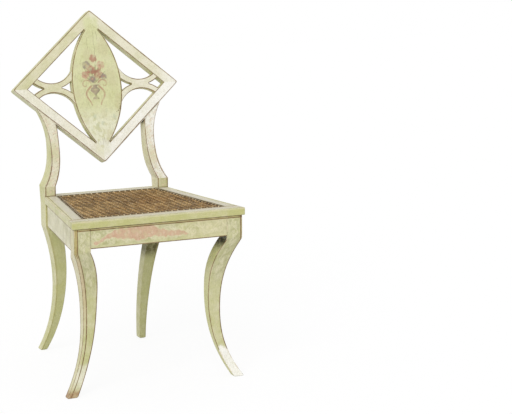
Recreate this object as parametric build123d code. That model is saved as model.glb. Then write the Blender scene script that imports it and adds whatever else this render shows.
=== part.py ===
from build123d import *
import os
from math import atan2, cos, degrees, hypot, radians, sin, sqrt, tan

# A painted side chair with a caned seat and a lozenge back.
# +X is the sitter's left-to-right as seen from the front, +Y runs to the back, +Z is up.
# While it is modelled, y counts from the front edge of the seat frame; save() moves the
# origin to the floor under the middle of the chair.

# ---- seat frame: four flat rails round the caned opening
seat_height = 450.0
seat_frame_thickness = 19.0
seat_front_width = 459.0
seat_width_at_posts = 348.0
seat_overhang = 5.2            # seat frame beyond the aprons
seat_behind_post_front = 37.0
front_rail_margin = 38.0       # solid wood before the cane
back_rail_margin = 34.0
side_margin_front = 34.5
side_margin_back = 33.0
cane_ledge = 12.0              # sunk ledge that carries the cane
cane_recess = 2.5
cane_thickness = 2.0
cane_hole_diameter = 4.5
cane_hole_pitch = 12.7
cane_hole_inset = 5.0
seat_tenon_thickness = 6.0
seat_tenon_width = 18.0
seat_front_tenon_length = 15.0
seat_post_tenon_length = 12.0
edge_ease = 1.5

# ---- aprons
apron_height = 51.5
apron_thickness = 22.0
apron_tenon_thickness = 8.0
apron_tenon_shoulder = 8.0
apron_tenon_length = 18.0
block_drop = 9.5               # leg blocks and side aprons reach this far below the front apron

# ---- front legs: sawn to bowed edges. Each edge has a waist, set in from the block above it,
# ---- and flares out again to the foot.
front_block_width = 42.8
front_block_depth = 48.0
front_outer_waist_height = 187.0
front_outer_waist_inset = 38.1
front_outer_foot_flare = 55.6
front_inner_waist_height = 246.0
front_inner_waist_inset = 30.9
front_inner_foot_flare = 63.5
front_fore_waist_height = 152.0    # the edge towards the front, seen from the side
front_fore_waist_inset = 57.8
front_fore_foot_flare = 26.0
front_hind_waist_height = 184.0    # the edge towards the back
front_hind_waist_inset = 33.8
front_hind_foot_flare = 30.5
front_bow_power = 2.35

# ---- rear legs, each in one piece with its post
post_front = 376.0             # front face of the posts, from the seat's front edge
post_width = 30.5
post_depth = 40.0
post_block_height = 26.0       # block above the seat: upright in front, raked behind
rear_block_width = 42.5
rear_outer_waist_height = 152.0
rear_outer_waist_inset = 38.0
rear_outer_foot_flare = 18.8
rear_inner_waist_height = 195.0
rear_inner_waist_inset = 22.4
rear_inner_foot_flare = 27.2
rear_foot_depth = 26.0
rear_depth_power = 1.5         # how late the leg thickens from its foot to its block
rear_bow_power = 2.1
rear_lean = 0.168               # steady slope backwards, per millimetre of drop
rear_kick = 68.5               # extra sweep at the foot

# ---- stiles: the curved part of the posts
stile_waist_above_seat = 130.0
stile_waist_outer = 147.0
stile_waist_inner = 122.0
stile_head_outer = 175.0
stile_head_inner = 126.0
stile_head_depth = 25.0
stile_lower_power = 2.6
stile_upper_power = 2.1
stile_tenon_width = 16.0
stile_tenon_length = 17.0
stile_tenon_centre = 141.0

# ---- lozenge back, lying in one raked plane
back_rake = 14.2               # degrees from upright
lozenge_centre_above_seat = 277.4
lozenge_half_width = 233.0
lozenge_half_height = 206.0
lozenge_rail_width = 27.5
lozenge_thickness = 26.0
panel_half_width = 70.0
panel_tip_overrun = 4.4        # how far the pointed oval would run past the rails' inner corner
panel_thickness = 18.0
rib_radius = 66.0              # window side of the ribs
rib_width = 16.5
rib_centre_up = 79.0
rib_behind_panel = 0.2         # how far the ribs' circles run past the panel's edge
rib_thickness = 16.0
tongue_thickness = 6.0
tongue_width = 20.0
tongue_into_rail = 18.0
tongue_into_panel = 20.0
tongue_side_gap = 2.0

# ---- glue blocks and screws under the seat
glue_block_height = 36.0
glue_block_reach = 46.0
screw_diameter = 4.0
screw_head_diameter = 7.6
screw_head_height = 2.6
screw_slot = 1.2
screw_bite = 12.0
screw_grip = 9.0
block_screw_offset = 30.0
seat_screw_grip = 26.0

# ---- worked out from the sizes above
TOP = seat_height
SEAT_UNDER = seat_height - seat_frame_thickness
APRON_BOTTOM = SEAT_UNDER - apron_height
KNEE = APRON_BOTTOM - block_drop
SEAT_DEPTH = post_front + seat_behind_post_front
CANE_BACK = SEAT_DEPTH - back_rail_margin
LEDGE_FRONT = front_rail_margin + cane_ledge
LEDGE_BACK = CANE_BACK - cane_ledge
SIDE_SLOPE = (seat_front_width - seat_width_at_posts) / 2 / post_front
SIDE_COS = 1 / hypot(1, SIDE_SLOPE)
POST_OUTER = seat_width_at_posts / 2
POST_INNER = POST_OUTER - post_width
POST_TOP = seat_height + post_block_height
RAKE = radians(back_rake)
SAW_STEPS = 8


def seat_side(y):
    """Half width of the seat frame at depth y."""
    return seat_front_width / 2 - SIDE_SLOPE * y


def apron_side(y, depth_in=0.0):
    """x of the side apron's outer face at depth y, or of a line depth_in inside it."""
    return seat_side(y) - seat_overhang - depth_in / SIDE_COS


def cane_side(y):
    """Half width of the cane at depth y: a straight line between the two side margins."""
    front = seat_side(front_rail_margin) - side_margin_front
    back = seat_side(CANE_BACK) - side_margin_back
    return front + (back - front) * (y - front_rail_margin) / (CANE_BACK - front_rail_margin)


# ------------------------------------------------------------------ small makers
def outline(*points):
    """Flat face inside a closed run of straight lines."""
    return make_face(Polyline(*points, close=True))


def plan_solid(points, low, high):
    """Upright prism over a plan outline."""
    return extrude(outline(*[(x, y, low) for x, y in points]), amount=high - low, dir=(0, 0, 1))


def symmetric_plan(half_points, low, high):
    """Upright prism over a plan given by its +X half, front to back."""
    other_half = [(-x, y) for x, y in reversed(half_points)]
    return plan_solid(half_points + other_half, low, high)


def block(x_range, y_range, z_range):
    """Box between pairs of coordinates."""
    size = [high - low for low, high in (x_range, y_range, z_range)]
    corner = [low for low, high in (x_range, y_range, z_range)]
    return Pos(*corner) * Box(*size, align=(Align.MIN, Align.MIN, Align.MIN))


def mirrored(solid):
    """The same piece on the other side of the chair."""
    return mirror(solid, about=Plane.YZ)


def screw(length):
    """Slotted wood screw along +Z, its head on the origin and its shank above it."""
    head = Pos(0, 0, -screw_head_height) * Cylinder(
        screw_head_diameter / 2, screw_head_height, align=(Align.CENTER, Align.CENTER, Align.MIN))
    slot = Pos(0, 0, -screw_head_height) * Box(screw_head_diameter, screw_slot, screw_slot * 2)
    shank = Cylinder(screw_diameter / 2, length, align=(Align.CENTER, Align.CENTER, Align.MIN))
    return head - slot + shank


def screw_hole(length, run_out):
    """Space for a screw: its shank and the counterbore that lets its head in."""
    bore = Cylinder(screw_diameter / 2, length, align=(Align.CENTER, Align.CENTER, Align.MIN))
    mouth = Cylinder(screw_head_diameter / 2, run_out, align=(Align.CENTER, Align.CENTER, Align.MAX))
    return bore + mouth


# ------------------------------------------------------------------ legs
def bowed_edge(block_edge, waist, inset, flare, power):
    """Edge of a leg as a function of height. It lies inset from block_edge at its waist and
    stands out from there by a power of the way up to the knee or down to the foot."""
    def edge(z):
        if z > waist:
            return block_edge - inset + inset * ((z - waist) / (KNEE - waist)) ** power
        return block_edge - inset + flare * ((waist - z) / waist) ** power
    return edge


def drooped_edge(block_edge, waist, inset, flare, power):
    """The same edge, turned the other way: its waist lies past block_edge instead of inside it."""
    edge = bowed_edge(-block_edge, waist, inset, flare, power)
    return lambda z: -edge(z)


def sawn(low_edge, high_edge, low_z, high_z, place, sweep, amount):
    """Board sawn to two curved edges, given as functions of height, and as thick as amount."""
    heights = [low_z + (high_z - low_z) * step / SAW_STEPS for step in range(SAW_STEPS + 1)]
    low_points = [place(low_edge(z), z) for z in heights]
    high_points = [place(high_edge(z), z) for z in heights]
    edges = [
        Spline(*low_points),
        Line(low_points[-1], high_points[-1]),
        Spline(*high_points),
        Line(high_points[0], low_points[0]),
    ]
    return extrude(make_face(edges), amount=amount, dir=sweep)


def seen_from_front(low_edge, high_edge, low_z, high_z):
    """Sawn board whose outline shows from the front."""
    return sawn(low_edge, high_edge, low_z, high_z, lambda u, z: (u, -50, z), (0, 1, 0), SEAT_DEPTH * 2)


def seen_from_side(low_edge, high_edge, low_z, high_z):
    """Sawn board whose outline shows from the side."""
    return sawn(low_edge, high_edge, low_z, high_z, lambda u, z: (0, u, z), (1, 0, 0), seat_front_width)


def front_leg():
    """Right-hand front leg: a square block at the apron and a bowed leg below it."""
    block_outer = apron_side(seat_overhang)
    block_inner = block_outer - front_block_width
    block_hind = seat_overhang + front_block_depth
    outer = bowed_edge(block_outer, front_outer_waist_height, front_outer_waist_inset,
                       front_outer_foot_flare, front_bow_power)
    inner = bowed_edge(block_inner, front_inner_waist_height, front_inner_waist_inset,
                       front_inner_foot_flare, front_bow_power)
    fore = drooped_edge(seat_overhang, front_fore_waist_height, front_fore_waist_inset,
                        front_fore_foot_flare, front_bow_power)
    hind = drooped_edge(block_hind, front_hind_waist_height, front_hind_waist_inset,
                        front_hind_foot_flare, front_bow_power)
    bowed = seen_from_front(inner, outer, 0, KNEE) & seen_from_side(fore, hind, 0, KNEE)
    square = block((block_inner, block_outer), (seat_overhang, block_hind), (KNEE, SEAT_UNDER))
    behind = block_hind + front_hind_waist_inset * 2
    outside = [(apron_side(0), 0), (apron_side(behind), behind), (seat_front_width, behind), (seat_front_width, 0)]
    leg = bowed + square - plan_solid(outside, front_outer_waist_height, TOP)
    return leg - front_apron_core() - side_apron_core()


def rear_leg():
    """Right-hand rear leg, post and stile in one piece."""
    outer = bowed_edge(POST_OUTER, rear_outer_waist_height, rear_outer_waist_inset,
                       rear_outer_foot_flare, rear_bow_power)
    inner = bowed_edge(POST_OUTER - rear_block_width, rear_inner_waist_height, rear_inner_waist_inset,
                       rear_inner_foot_flare, rear_bow_power)
    bowed = seen_from_front(inner, outer, 0, KNEE) & seen_from_side(
        lambda z: rear_sweep(z) - rear_depth(z) / 2, lambda z: rear_sweep(z) + rear_depth(z) / 2, 0, KNEE)
    square = block((POST_OUTER - rear_block_width, POST_OUTER),
                   (post_front, post_front + post_depth), (KNEE, SEAT_UNDER))
    leg = bowed + square + post_block() + stile() + stile_tenon()
    return leg - side_apron_core() - back_apron_core() - side_rail_core() - back_rail_core()


def rear_depth(z):
    """Depth of the rear leg at height z, between the foot's and the block's."""
    return rear_foot_depth + (post_depth - rear_foot_depth) * (z / KNEE) ** rear_depth_power


def rear_sweep(z):
    """y of the rear leg's middle at height z: a steady lean and a kick that grows as the cube."""
    drop = KNEE - z
    return post_front + post_depth / 2 + rear_lean * drop + rear_kick * (drop / KNEE) ** 3


def post_back(z):
    """y of the post's raked back face, from the seat's underside to the stile's head."""
    head = lozenge_lower_edge_height(stile_head_outer)
    head_back = stile_front(head) + stile_head_depth
    return post_front + post_depth + (head_back - post_front - post_depth) * (z - SEAT_UNDER) / (head - SEAT_UNDER)


def stile_front(z):
    """y of the stile's front face, which lies in the plane of the back."""
    return post_front + tan(RAKE) * (z - POST_TOP)


def post_block():
    """Block above the seat, upright in front and raked behind."""
    side = outline((POST_INNER, post_front, SEAT_UNDER), (POST_INNER, post_back(SEAT_UNDER), SEAT_UNDER),
                   (POST_INNER, post_back(POST_TOP), POST_TOP), (POST_INNER, post_front, POST_TOP))
    return extrude(side, amount=post_width, dir=(1, 0, 0))


def stile():
    """Curved stile from the block above the seat to the lozenge's lower edge."""
    waist = seat_height + stile_waist_above_seat
    head = lozenge_lower_edge_height(stile_head_outer)
    over = lozenge_thickness * tan(RAKE) + 2

    def curve(z, post, middle, top):
        if z < waist:
            return middle + (post - middle) * ((waist - z) / (waist - POST_TOP)) ** stile_lower_power
        return middle + (top - middle) * ((min(z, head) - waist) / (head - waist)) ** stile_upper_power

    board = seen_from_front(lambda z: curve(z, POST_INNER, stile_waist_inner, stile_head_inner),
                            lambda z: curve(z, POST_OUTER, stile_waist_outer, stile_head_outer),
                            POST_TOP, head + over)
    board &= seen_from_side(stile_front, post_back, POST_TOP, head + over)
    return board - above_lozenge_lower_edge()


def stile_tenon():
    """Tenon on the stile's head, upright in the plane of the back."""
    edge = -lozenge_edge(stile_tenon_centre)
    tenon = Pos(stile_tenon_centre, edge, -lozenge_thickness / 2) * Box(
        stile_tenon_width, 2 * stile_tenon_length, tongue_thickness)
    return LOZENGE_PLANE.location * tenon


# ------------------------------------------------------------------ aprons
def apron_core_heights():
    return APRON_BOTTOM + apron_tenon_shoulder, SEAT_UNDER - apron_tenon_shoulder


def front_apron_ends():
    return apron_side(seat_overhang) - front_block_width


def front_apron_core():
    """Strip through the front apron whose two ends are its tenons."""
    reach = front_apron_ends() + apron_tenon_length
    middle = seat_overhang + apron_thickness / 2
    half = apron_tenon_thickness / 2
    return block((-reach, reach), (middle - half, middle + half), apron_core_heights())


def front_apron():
    ends = front_apron_ends()
    board = block((-ends, ends), (seat_overhang, seat_overhang + apron_thickness), (APRON_BOTTOM, SEAT_UNDER))
    return board + front_apron_core()


def back_apron_front():
    return post_front + post_depth - seat_overhang - apron_thickness


def back_apron_core():
    """Strip through the back apron whose two ends are its tenons."""
    reach = POST_OUTER - rear_block_width + apron_tenon_length
    middle = back_apron_front() + apron_thickness / 2
    half = apron_tenon_thickness / 2
    return block((-reach, reach), (middle - half, middle + half), apron_core_heights())


def back_apron():
    ends = POST_OUTER - rear_block_width
    low_y = back_apron_front()
    board = block((-ends, ends), (low_y, low_y + apron_thickness), (APRON_BOTTOM, SEAT_UNDER))
    return board + back_apron_core()


def side_strip(front, back, near, far, low, high):
    """Upright strip along the seat's tapering side, between two depths in from its face."""
    corners = [(apron_side(front, near), front), (apron_side(back, near), back),
               (apron_side(back, far), back), (apron_side(front, far), front)]
    return plan_solid(corners, low, high)


def side_apron_core():
    """Strip through the side apron whose two ends are its tenons."""
    middle = apron_thickness / 2
    half = apron_tenon_thickness / 2
    front = seat_overhang + front_block_depth - apron_tenon_length
    return side_strip(front, post_front + apron_tenon_length, middle - half, middle + half, *apron_core_heights())


def side_apron():
    front = seat_overhang + front_block_depth
    return side_strip(front, post_front, 0, apron_thickness, KNEE, SEAT_UNDER) + side_apron_core()


# ------------------------------------------------------------------ seat frame
def seat_blank():
    """The whole seat frame before it is parted into rails: opening, ledge and cane holes."""
    outer = [(seat_side(0), 0), (seat_side(post_front), post_front), (POST_INNER, post_front),
             (POST_INNER, SEAT_DEPTH)]
    blank = symmetric_plan(outer, SEAT_UNDER, TOP)
    rim = [edge for edge in blank.edges()
           if abs(edge.tangent_at(0.5).Z) < 0.5 and edge.center().Y < post_front - edge_ease]
    blank = chamfer(rim, edge_ease)
    cane = [(cane_side(front_rail_margin), front_rail_margin), (cane_side(CANE_BACK), CANE_BACK)]
    opening = [(cane_side(LEDGE_FRONT) - cane_ledge, LEDGE_FRONT), (cane_side(LEDGE_BACK) - cane_ledge, LEDGE_BACK)]
    blank -= symmetric_plan(cane, TOP - cane_recess, TOP + 1)
    blank -= symmetric_plan(opening, SEAT_UNDER - 1, TOP)
    for x, y in cane_hole_places():
        blank -= Pos(x, y, SEAT_UNDER - 1) * Cylinder(
            cane_hole_diameter / 2, seat_frame_thickness, align=(Align.CENTER, Align.CENTER, Align.MIN))
    return blank


def spaced(start, end):
    """Points along a line at about the cane holes' pitch, without its far end."""
    length = hypot(end[0] - start[0], end[1] - start[1])
    count = max(1, round(length / cane_hole_pitch))
    return [(start[0] + (end[0] - start[0]) * step / count,
             start[1] + (end[1] - start[1]) * step / count) for step in range(count)]


def cane_hole_places():
    """Centres of the holes that the cane is threaded through, round the ledge."""
    front_y = front_rail_margin + cane_hole_inset
    back_y = CANE_BACK - cane_hole_inset
    front_x = cane_side(front_y) - cane_hole_inset
    back_x = cane_side(back_y) - cane_hole_inset
    corners = [(-front_x, front_y), (front_x, front_y), (back_x, back_y), (-back_x, back_y)]
    places = []
    for start, end in zip(corners, corners[1:] + corners[:1]):
        places += spaced(start, end)
    return places


def seat_core_heights():
    middle = (SEAT_UNDER + TOP - cane_recess) / 2
    return middle - seat_tenon_thickness / 2, middle + seat_tenon_thickness / 2


def side_rail_core():
    """Strip through a side rail: its ends are tenons into the front rail and the post."""
    near = post_width / 2 - seat_tenon_width / 2 - seat_overhang
    return side_strip(LEDGE_FRONT - seat_front_tenon_length, post_front + seat_post_tenon_length,
                      near, near + seat_tenon_width, *seat_core_heights())


def back_rail_core():
    """Strip through the back rail: its ends are tenons into the posts."""
    reach = POST_INNER + seat_post_tenon_length
    front = post_front + seat_post_tenon_length + 1.5
    return block((-reach, reach), (front, front + seat_tenon_width), seat_core_heights())


def seat_rail_front(blank):
    wide = seat_front_width
    return (blank & block((-wide, wide), (-1, LEDGE_FRONT), (0, TOP))) - side_rail_core() - mirrored(side_rail_core())


def seat_rail_back(blank):
    return (blank & block((-POST_INNER, POST_INNER), (LEDGE_BACK, SEAT_DEPTH), (0, TOP))) + back_rail_core()


def seat_rail_side(blank):
    """Right-hand side rail, from the front rail to the post, stepped round the back rail's end."""
    region = block((0, seat_front_width), (LEDGE_FRONT, post_front), (0, TOP))
    region -= block((0, POST_INNER), (LEDGE_BACK, post_front), (0, TOP))
    return (blank & region) + side_rail_core()


def cane_seat():
    """The woven cane as one thin sheet lying on the ledge."""
    half = [(cane_side(front_rail_margin), front_rail_margin), (cane_side(CANE_BACK), CANE_BACK)]
    floor = TOP - cane_recess
    return symmetric_plan(half, floor, floor + cane_thickness)


# ------------------------------------------------------------------ glue blocks and screws
def front_glue_block_plan():
    """Plan of the block in the front corner, fitted round the leg's inner corner."""
    inner_y = seat_overhang + apron_thickness
    leg_x = front_apron_ends()
    leg_y = seat_overhang + front_block_depth
    far_y = leg_y + glue_block_reach
    return [(leg_x - glue_block_reach, inner_y), (leg_x, inner_y), (leg_x, leg_y),
            (apron_side(leg_y, apron_thickness), leg_y), (apron_side(far_y, apron_thickness), far_y)]


def rear_glue_block_plan():
    """Plan of the block in the rear corner, fitted round the leg's inner corner."""
    inner_y = back_apron_front()
    leg_x = POST_OUTER - rear_block_width
    near_y = post_front - glue_block_reach
    return [(leg_x - glue_block_reach, inner_y), (leg_x, inner_y), (leg_x, post_front),
            (apron_side(post_front, apron_thickness), post_front),
            (apron_side(near_y, apron_thickness), near_y)]


def screw_at(x, y, angle):
    """Place of a level screw that points along the plan angle, its seat screw_grip short of (x, y)."""
    aim = (cos(radians(angle)), sin(radians(angle)))
    start = (x - aim[0] * screw_grip, y - aim[1] * screw_grip, SEAT_UNDER - glue_block_height / 2)
    return Location(Plane(origin=start, x_dir=(0, 0, 1), z_dir=(aim[0], aim[1], 0)))


def front_screw_places():
    side_angle = degrees(atan2(SIDE_SLOPE, 1))
    along = seat_overhang + front_block_depth + block_screw_offset
    return [screw_at(front_apron_ends() - block_screw_offset, seat_overhang + apron_thickness, -90),
            screw_at(apron_side(along, apron_thickness), along, side_angle)]


def rear_screw_places():
    side_angle = degrees(atan2(SIDE_SLOPE, 1))
    along = post_front - block_screw_offset
    return [screw_at(POST_OUTER - rear_block_width - block_screw_offset + 6, back_apron_front(), 90),
            screw_at(apron_side(along, apron_thickness), along, side_angle)]


def seat_screw_place(x, y):
    """Place of an upright screw that holds the seat frame down on a glue block."""
    return Location((x, y, SEAT_UNDER - seat_screw_grip))


def front_seat_screw_place():
    x = front_apron_ends() - glue_block_reach / 3
    y = (seat_overhang + apron_thickness + front_rail_margin) / 2 + screw_diameter / 2
    return seat_screw_place(x, y)


def rear_seat_screw_place():
    x = POST_OUTER - rear_block_width - glue_block_reach / 5
    return seat_screw_place(x, (CANE_BACK + back_apron_front()) / 2)


BLOCK_SCREW_LENGTH = screw_grip + screw_bite
SEAT_SCREW_LENGTH = seat_screw_grip + screw_bite


def glue_block(plan, level_places, upright_place):
    """Glue block with its two level screw holes and one upright one."""
    piece = plan_solid(plan, SEAT_UNDER - glue_block_height, SEAT_UNDER)
    for place in level_places:
        piece -= place * screw_hole(BLOCK_SCREW_LENGTH, glue_block_reach)
    return piece - upright_place * screw_hole(SEAT_SCREW_LENGTH, glue_block_height)


def front_glue_block():
    return glue_block(front_glue_block_plan(), front_screw_places(), front_seat_screw_place())


def rear_glue_block():
    return glue_block(rear_glue_block_plan(), rear_screw_places(), rear_seat_screw_place())


def level_screws():
    return [place * screw(BLOCK_SCREW_LENGTH) for place in front_screw_places() + rear_screw_places()]


def upright_screws():
    return [place * screw(SEAT_SCREW_LENGTH) for place in (front_seat_screw_place(), rear_seat_screw_place())]


# ------------------------------------------------------------------ lozenge back
LOZENGE_Z = seat_height + lozenge_centre_above_seat
LOZENGE_Y = post_front + tan(RAKE) * (LOZENGE_Z - POST_TOP)
LOZENGE_PLANE = Plane(origin=(0, LOZENGE_Y, LOZENGE_Z), x_dir=(1, 0, 0), z_dir=(0, -cos(RAKE), sin(RAKE)))
SIDE_LENGTH = hypot(lozenge_half_width, lozenge_half_height)
INNER_HALF_WIDTH = lozenge_half_width - lozenge_rail_width * SIDE_LENGTH / lozenge_half_height
INNER_HALF_HEIGHT = lozenge_half_height - lozenge_rail_width * SIDE_LENGTH / lozenge_half_width
OVAL_HALF_HEIGHT = INNER_HALF_HEIGHT + panel_tip_overrun
PANEL_RADIUS = (OVAL_HALF_HEIGHT ** 2 + panel_half_width ** 2) / (2 * panel_half_width)
RIB_CENTRE_OUT = (sqrt(PANEL_RADIUS ** 2 - rib_centre_up ** 2) - PANEL_RADIUS + panel_half_width
                  + rib_radius - rib_behind_panel)


def lozenge_edge(x):
    """Height of the lozenge's outer edge over its middle line, in its own plane."""
    return lozenge_half_height * (1 - x / lozenge_half_width)


def lozenge_lower_edge_height(x):
    """Height over the floor of the lozenge's lower edge, on its front face."""
    return LOZENGE_Z - lozenge_edge(x) * cos(RAKE)


def set_back(sketch, thickness, front=0.0):
    """Board of the given thickness behind the lozenge's front face."""
    return LOZENGE_PLANE.location * (Pos(0, 0, front - thickness) * extrude(sketch, amount=thickness, dir=(0, 0, 1)))


def above_lozenge_lower_edge():
    """All that lies over the lozenge's lower right edge, to trim the stile's head."""
    far = lozenge_half_width * 2
    region = outline((0, -lozenge_half_height), (lozenge_half_width, 0), (far, 0), (far, far), (0, far))
    return set_back(region, far, front=far / 2)


def inner_lozenge():
    return outline((0, INNER_HALF_HEIGHT), (INNER_HALF_WIDTH, 0), (0, -INNER_HALF_HEIGHT), (-INNER_HALF_WIDTH, 0))


def panel_sketch():
    """Pointed oval between two arcs, its tips cut to the corners of the inner lozenge."""
    out = PANEL_RADIUS - panel_half_width
    oval = (Pos(out, 0) * Circle(PANEL_RADIUS)) & (Pos(-out, 0) * Circle(PANEL_RADIUS))
    return oval & inner_lozenge()


def fret_sketch():
    """Right-hand fret: two ribs on circles above and below, joined where they meet."""
    bands = Sketch()
    windows = Sketch()
    for up in (rib_centre_up, -rib_centre_up):
        bands += Pos(RIB_CENTRE_OUT, up) * Circle(rib_radius + rib_width)
        windows += Pos(RIB_CENTRE_OUT, up) * Circle(rib_radius)
    reach = Pos(INNER_HALF_WIDTH / 2, 0) * Rectangle(INNER_HALF_WIDTH, 2 * rib_centre_up)
    return (bands & inner_lozenge() & reach) - windows - panel_sketch()


def tongues():
    """Loose tongues that lock the four corners; the upper and lower ones also hold the panel."""
    long = tongue_into_rail + tongue_into_panel
    rise = INNER_HALF_HEIGHT + (tongue_into_rail - tongue_into_panel) / 2
    out = INNER_HALF_WIDTH + tongue_side_gap + tongue_into_rail / 2
    tall = Rectangle(tongue_width, long)
    broad = Rectangle(tongue_into_rail, tongue_width)
    sketches = [Pos(0, rise) * tall, Pos(0, -rise) * tall, Pos(out, 0) * broad, Pos(-out, 0) * broad]
    depth = -(panel_thickness - tongue_thickness) / 2
    return [set_back(sketch, tongue_thickness, front=depth) for sketch in sketches]


def lozenge_rail(upward):
    """Right-hand rail of the lozenge, mitred at both ends; upward is 1 over and -1 under."""
    corners = [(0, lozenge_half_height), (lozenge_half_width, 0), (INNER_HALF_WIDTH, 0), (0, INNER_HALF_HEIGHT)]
    rail = set_back(outline(*[(x, upward * y) for x, y in corners]), lozenge_thickness)
    for tongue in tongues():
        rail -= tongue
    if upward < 0:
        rail -= stile_tenon()
    return rail


def panel():
    board = set_back(panel_sketch(), panel_thickness)
    for tongue in tongues():
        board -= tongue
    return board


# ------------------------------------------------------------------ writing the pieces
OVERALL_DEPTH = rear_sweep(0) + rear_foot_depth / 2


def save(name, *solids):
    """Write one node, with the origin on the floor under the middle of the chair."""
    placed = [Pos(0, -OVERALL_DEPTH / 2, 0) * solid for solid in solids]
    shape = placed[0] if len(placed) == 1 else Compound(children=placed)
    export_step(shape, f"parts/{name}.step")


def save_pair(name, solid):
    """Write a right-hand piece and its mirror image on the left."""
    save(f"{name}_right", solid)
    save(f"{name}_left", mirrored(solid))


def main():
    os.makedirs("parts", exist_ok=True)
    level_holes = [place * screw_hole(BLOCK_SCREW_LENGTH, 1) for place in front_screw_places() + rear_screw_places()]
    upright_holes = [place * screw_hole(SEAT_SCREW_LENGTH, 1)
                     for place in (front_seat_screw_place(), rear_seat_screw_place())]
    level_holes += [mirrored(hole) for hole in level_holes]
    upright_holes += [mirrored(hole) for hole in upright_holes]

    save_pair("front_leg", front_leg())
    save_pair("rear_leg", rear_leg())
    save("front_apron", front_apron() - level_holes)
    save("back_apron", back_apron() - level_holes)
    save_pair("side_apron", side_apron() - level_holes)

    blank = seat_blank() - upright_holes
    save("seat_rail_front", seat_rail_front(blank))
    save("seat_rail_back", seat_rail_back(blank))
    save_pair("seat_rail_side", seat_rail_side(blank))
    save("cane_seat", cane_seat())

    save_pair("glue_block_front", front_glue_block())
    save_pair("glue_block_rear", rear_glue_block())
    save("block_screws", *level_screws(), *[mirrored(piece) for piece in level_screws()])
    save("seat_screws", *upright_screws(), *[mirrored(piece) for piece in upright_screws()])

    save_pair("lozenge_rail_upper", lozenge_rail(1))
    save_pair("lozenge_rail_lower", lozenge_rail(-1))
    save("vesica_panel", panel())
    save_pair("rib_fret", set_back(fret_sketch(), rib_thickness))
    save("corner_tongues", *tongues())


main()
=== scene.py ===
# %% [markdown]
# # A painted side chair with a caned seat and a lozenge back
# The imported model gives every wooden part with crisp, sawn edges. This lesson dresses those parts:
# it softens the arrises, weaves the cane, and paints the wood with an aged, stencilled finish.
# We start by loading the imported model, because it is the fixed frame that every new piece has to fit.

# %% Load the frame
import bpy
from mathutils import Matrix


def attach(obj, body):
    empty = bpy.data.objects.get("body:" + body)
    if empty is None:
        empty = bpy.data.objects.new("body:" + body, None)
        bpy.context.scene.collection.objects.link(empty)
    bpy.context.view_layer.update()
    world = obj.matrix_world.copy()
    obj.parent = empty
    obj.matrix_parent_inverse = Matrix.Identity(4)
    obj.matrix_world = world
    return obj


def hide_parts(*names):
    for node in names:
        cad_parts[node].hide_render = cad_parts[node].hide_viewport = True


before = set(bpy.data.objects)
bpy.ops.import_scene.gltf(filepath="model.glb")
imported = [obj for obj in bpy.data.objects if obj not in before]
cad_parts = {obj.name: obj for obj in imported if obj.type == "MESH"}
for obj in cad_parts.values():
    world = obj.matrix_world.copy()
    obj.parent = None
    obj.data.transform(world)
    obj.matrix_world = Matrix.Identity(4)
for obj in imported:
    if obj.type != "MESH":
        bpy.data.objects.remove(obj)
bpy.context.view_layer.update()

import math
import bpy
import numpy as np
from mathutils import Matrix, Vector

# %% [markdown]
# ## Camera
# A camera is placed by a matrix whose columns are its right, its up and the opposite of its view.
# Building the matrix from a turn, a dip and a slight roll keeps the three angles readable.

# %% Camera
CAMERA_PLACE = (-1.525, -4.08183, 1.209)
turn, dip, roll = (math.radians(angle) for angle in (-25.087, 10.244, -0.373))
view = Vector((-math.sin(turn) * math.cos(dip), math.cos(turn) * math.cos(dip), -math.sin(dip)))
level = Vector((math.cos(turn), math.sin(turn), 0))
rise = level.cross(view)
right = level * math.cos(roll) + rise * math.sin(roll)
up = rise * math.cos(roll) - level * math.sin(roll)
aim = Matrix((right, up, -view)).transposed().to_4x4()
lens = bpy.data.cameras.new("portrait_lens")
lens.lens = 119.02
lens.sensor_width = 36
camera = bpy.data.objects.new("camera", lens)
camera.matrix_world = Matrix.Translation(CAMERA_PLACE) @ aim
bpy.context.scene.collection.objects.link(camera)
bpy.context.scene.camera = camera
print("camera stands", round(camera.location.length, 2), "m from the chair")

# %% [markdown]
# ## The chair's sizes
# The chair was drawn in millimetres with its depth counted from the front edge of the seat. The same
# drawing sizes are kept here, so each formula reads as it does at the bench, and one function moves
# finished points into metres with the origin on the floor under the middle of the chair.

# %% Drawing sizes
CHAIR_MIDDLE = 269.83
OVERHANG = 5.2
SEAT_TOP, SEAT_UNDER = 450.0, 431.0
APRON_BOTTOM, KNEE = 379.5, 370.0
POST_FRONT, POST_TOP = 376.0, 476.0
POST_OUTER, POST_INNER = 174.0, 143.5
SEAT_HALF, SEAT_BACK = 229.5, 413.0
CANE_FRONT, CANE_BACK = 38.0, 379.0
CANE_MARGIN, CANE_MARGIN_BEHIND = 34.5, 33.0
SIDE_SLOPE = (SEAT_HALF - POST_OUTER) / POST_FRONT
RAKE = math.radians(14.2)


def place(points):
    """Drawing millimetres to metres in the chair's frame: the depth is counted from the middle."""
    return (np.asarray(points, float) - [0.0, CHAIR_MIDDLE, 0.0]) / 1000


def seat_side(y):
    """Half width of the seat at depth y: half the front width less the slope times the depth."""
    return SEAT_HALF - SIDE_SLOPE * y


def apron_side(y, inwards=0.0):
    """x of the side apron's face: inside the seat's edge by the overhang, less a depth square to it."""
    return seat_side(y) - OVERHANG - inwards * math.hypot(1, SIDE_SLOPE)


def cane_side(y):
    """Half width of the cane at depth y: a straight line between its front and back half widths."""
    front, back = seat_side(CANE_FRONT) - CANE_MARGIN, seat_side(CANE_BACK) - CANE_MARGIN_BEHIND
    return front + (back - front) * (y - CANE_FRONT) / (CANE_BACK - CANE_FRONT)


print("seat is", 2 * seat_side(0), "mm wide in front,", 2 * round(seat_side(POST_FRONT), 1), "at the posts")

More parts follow.
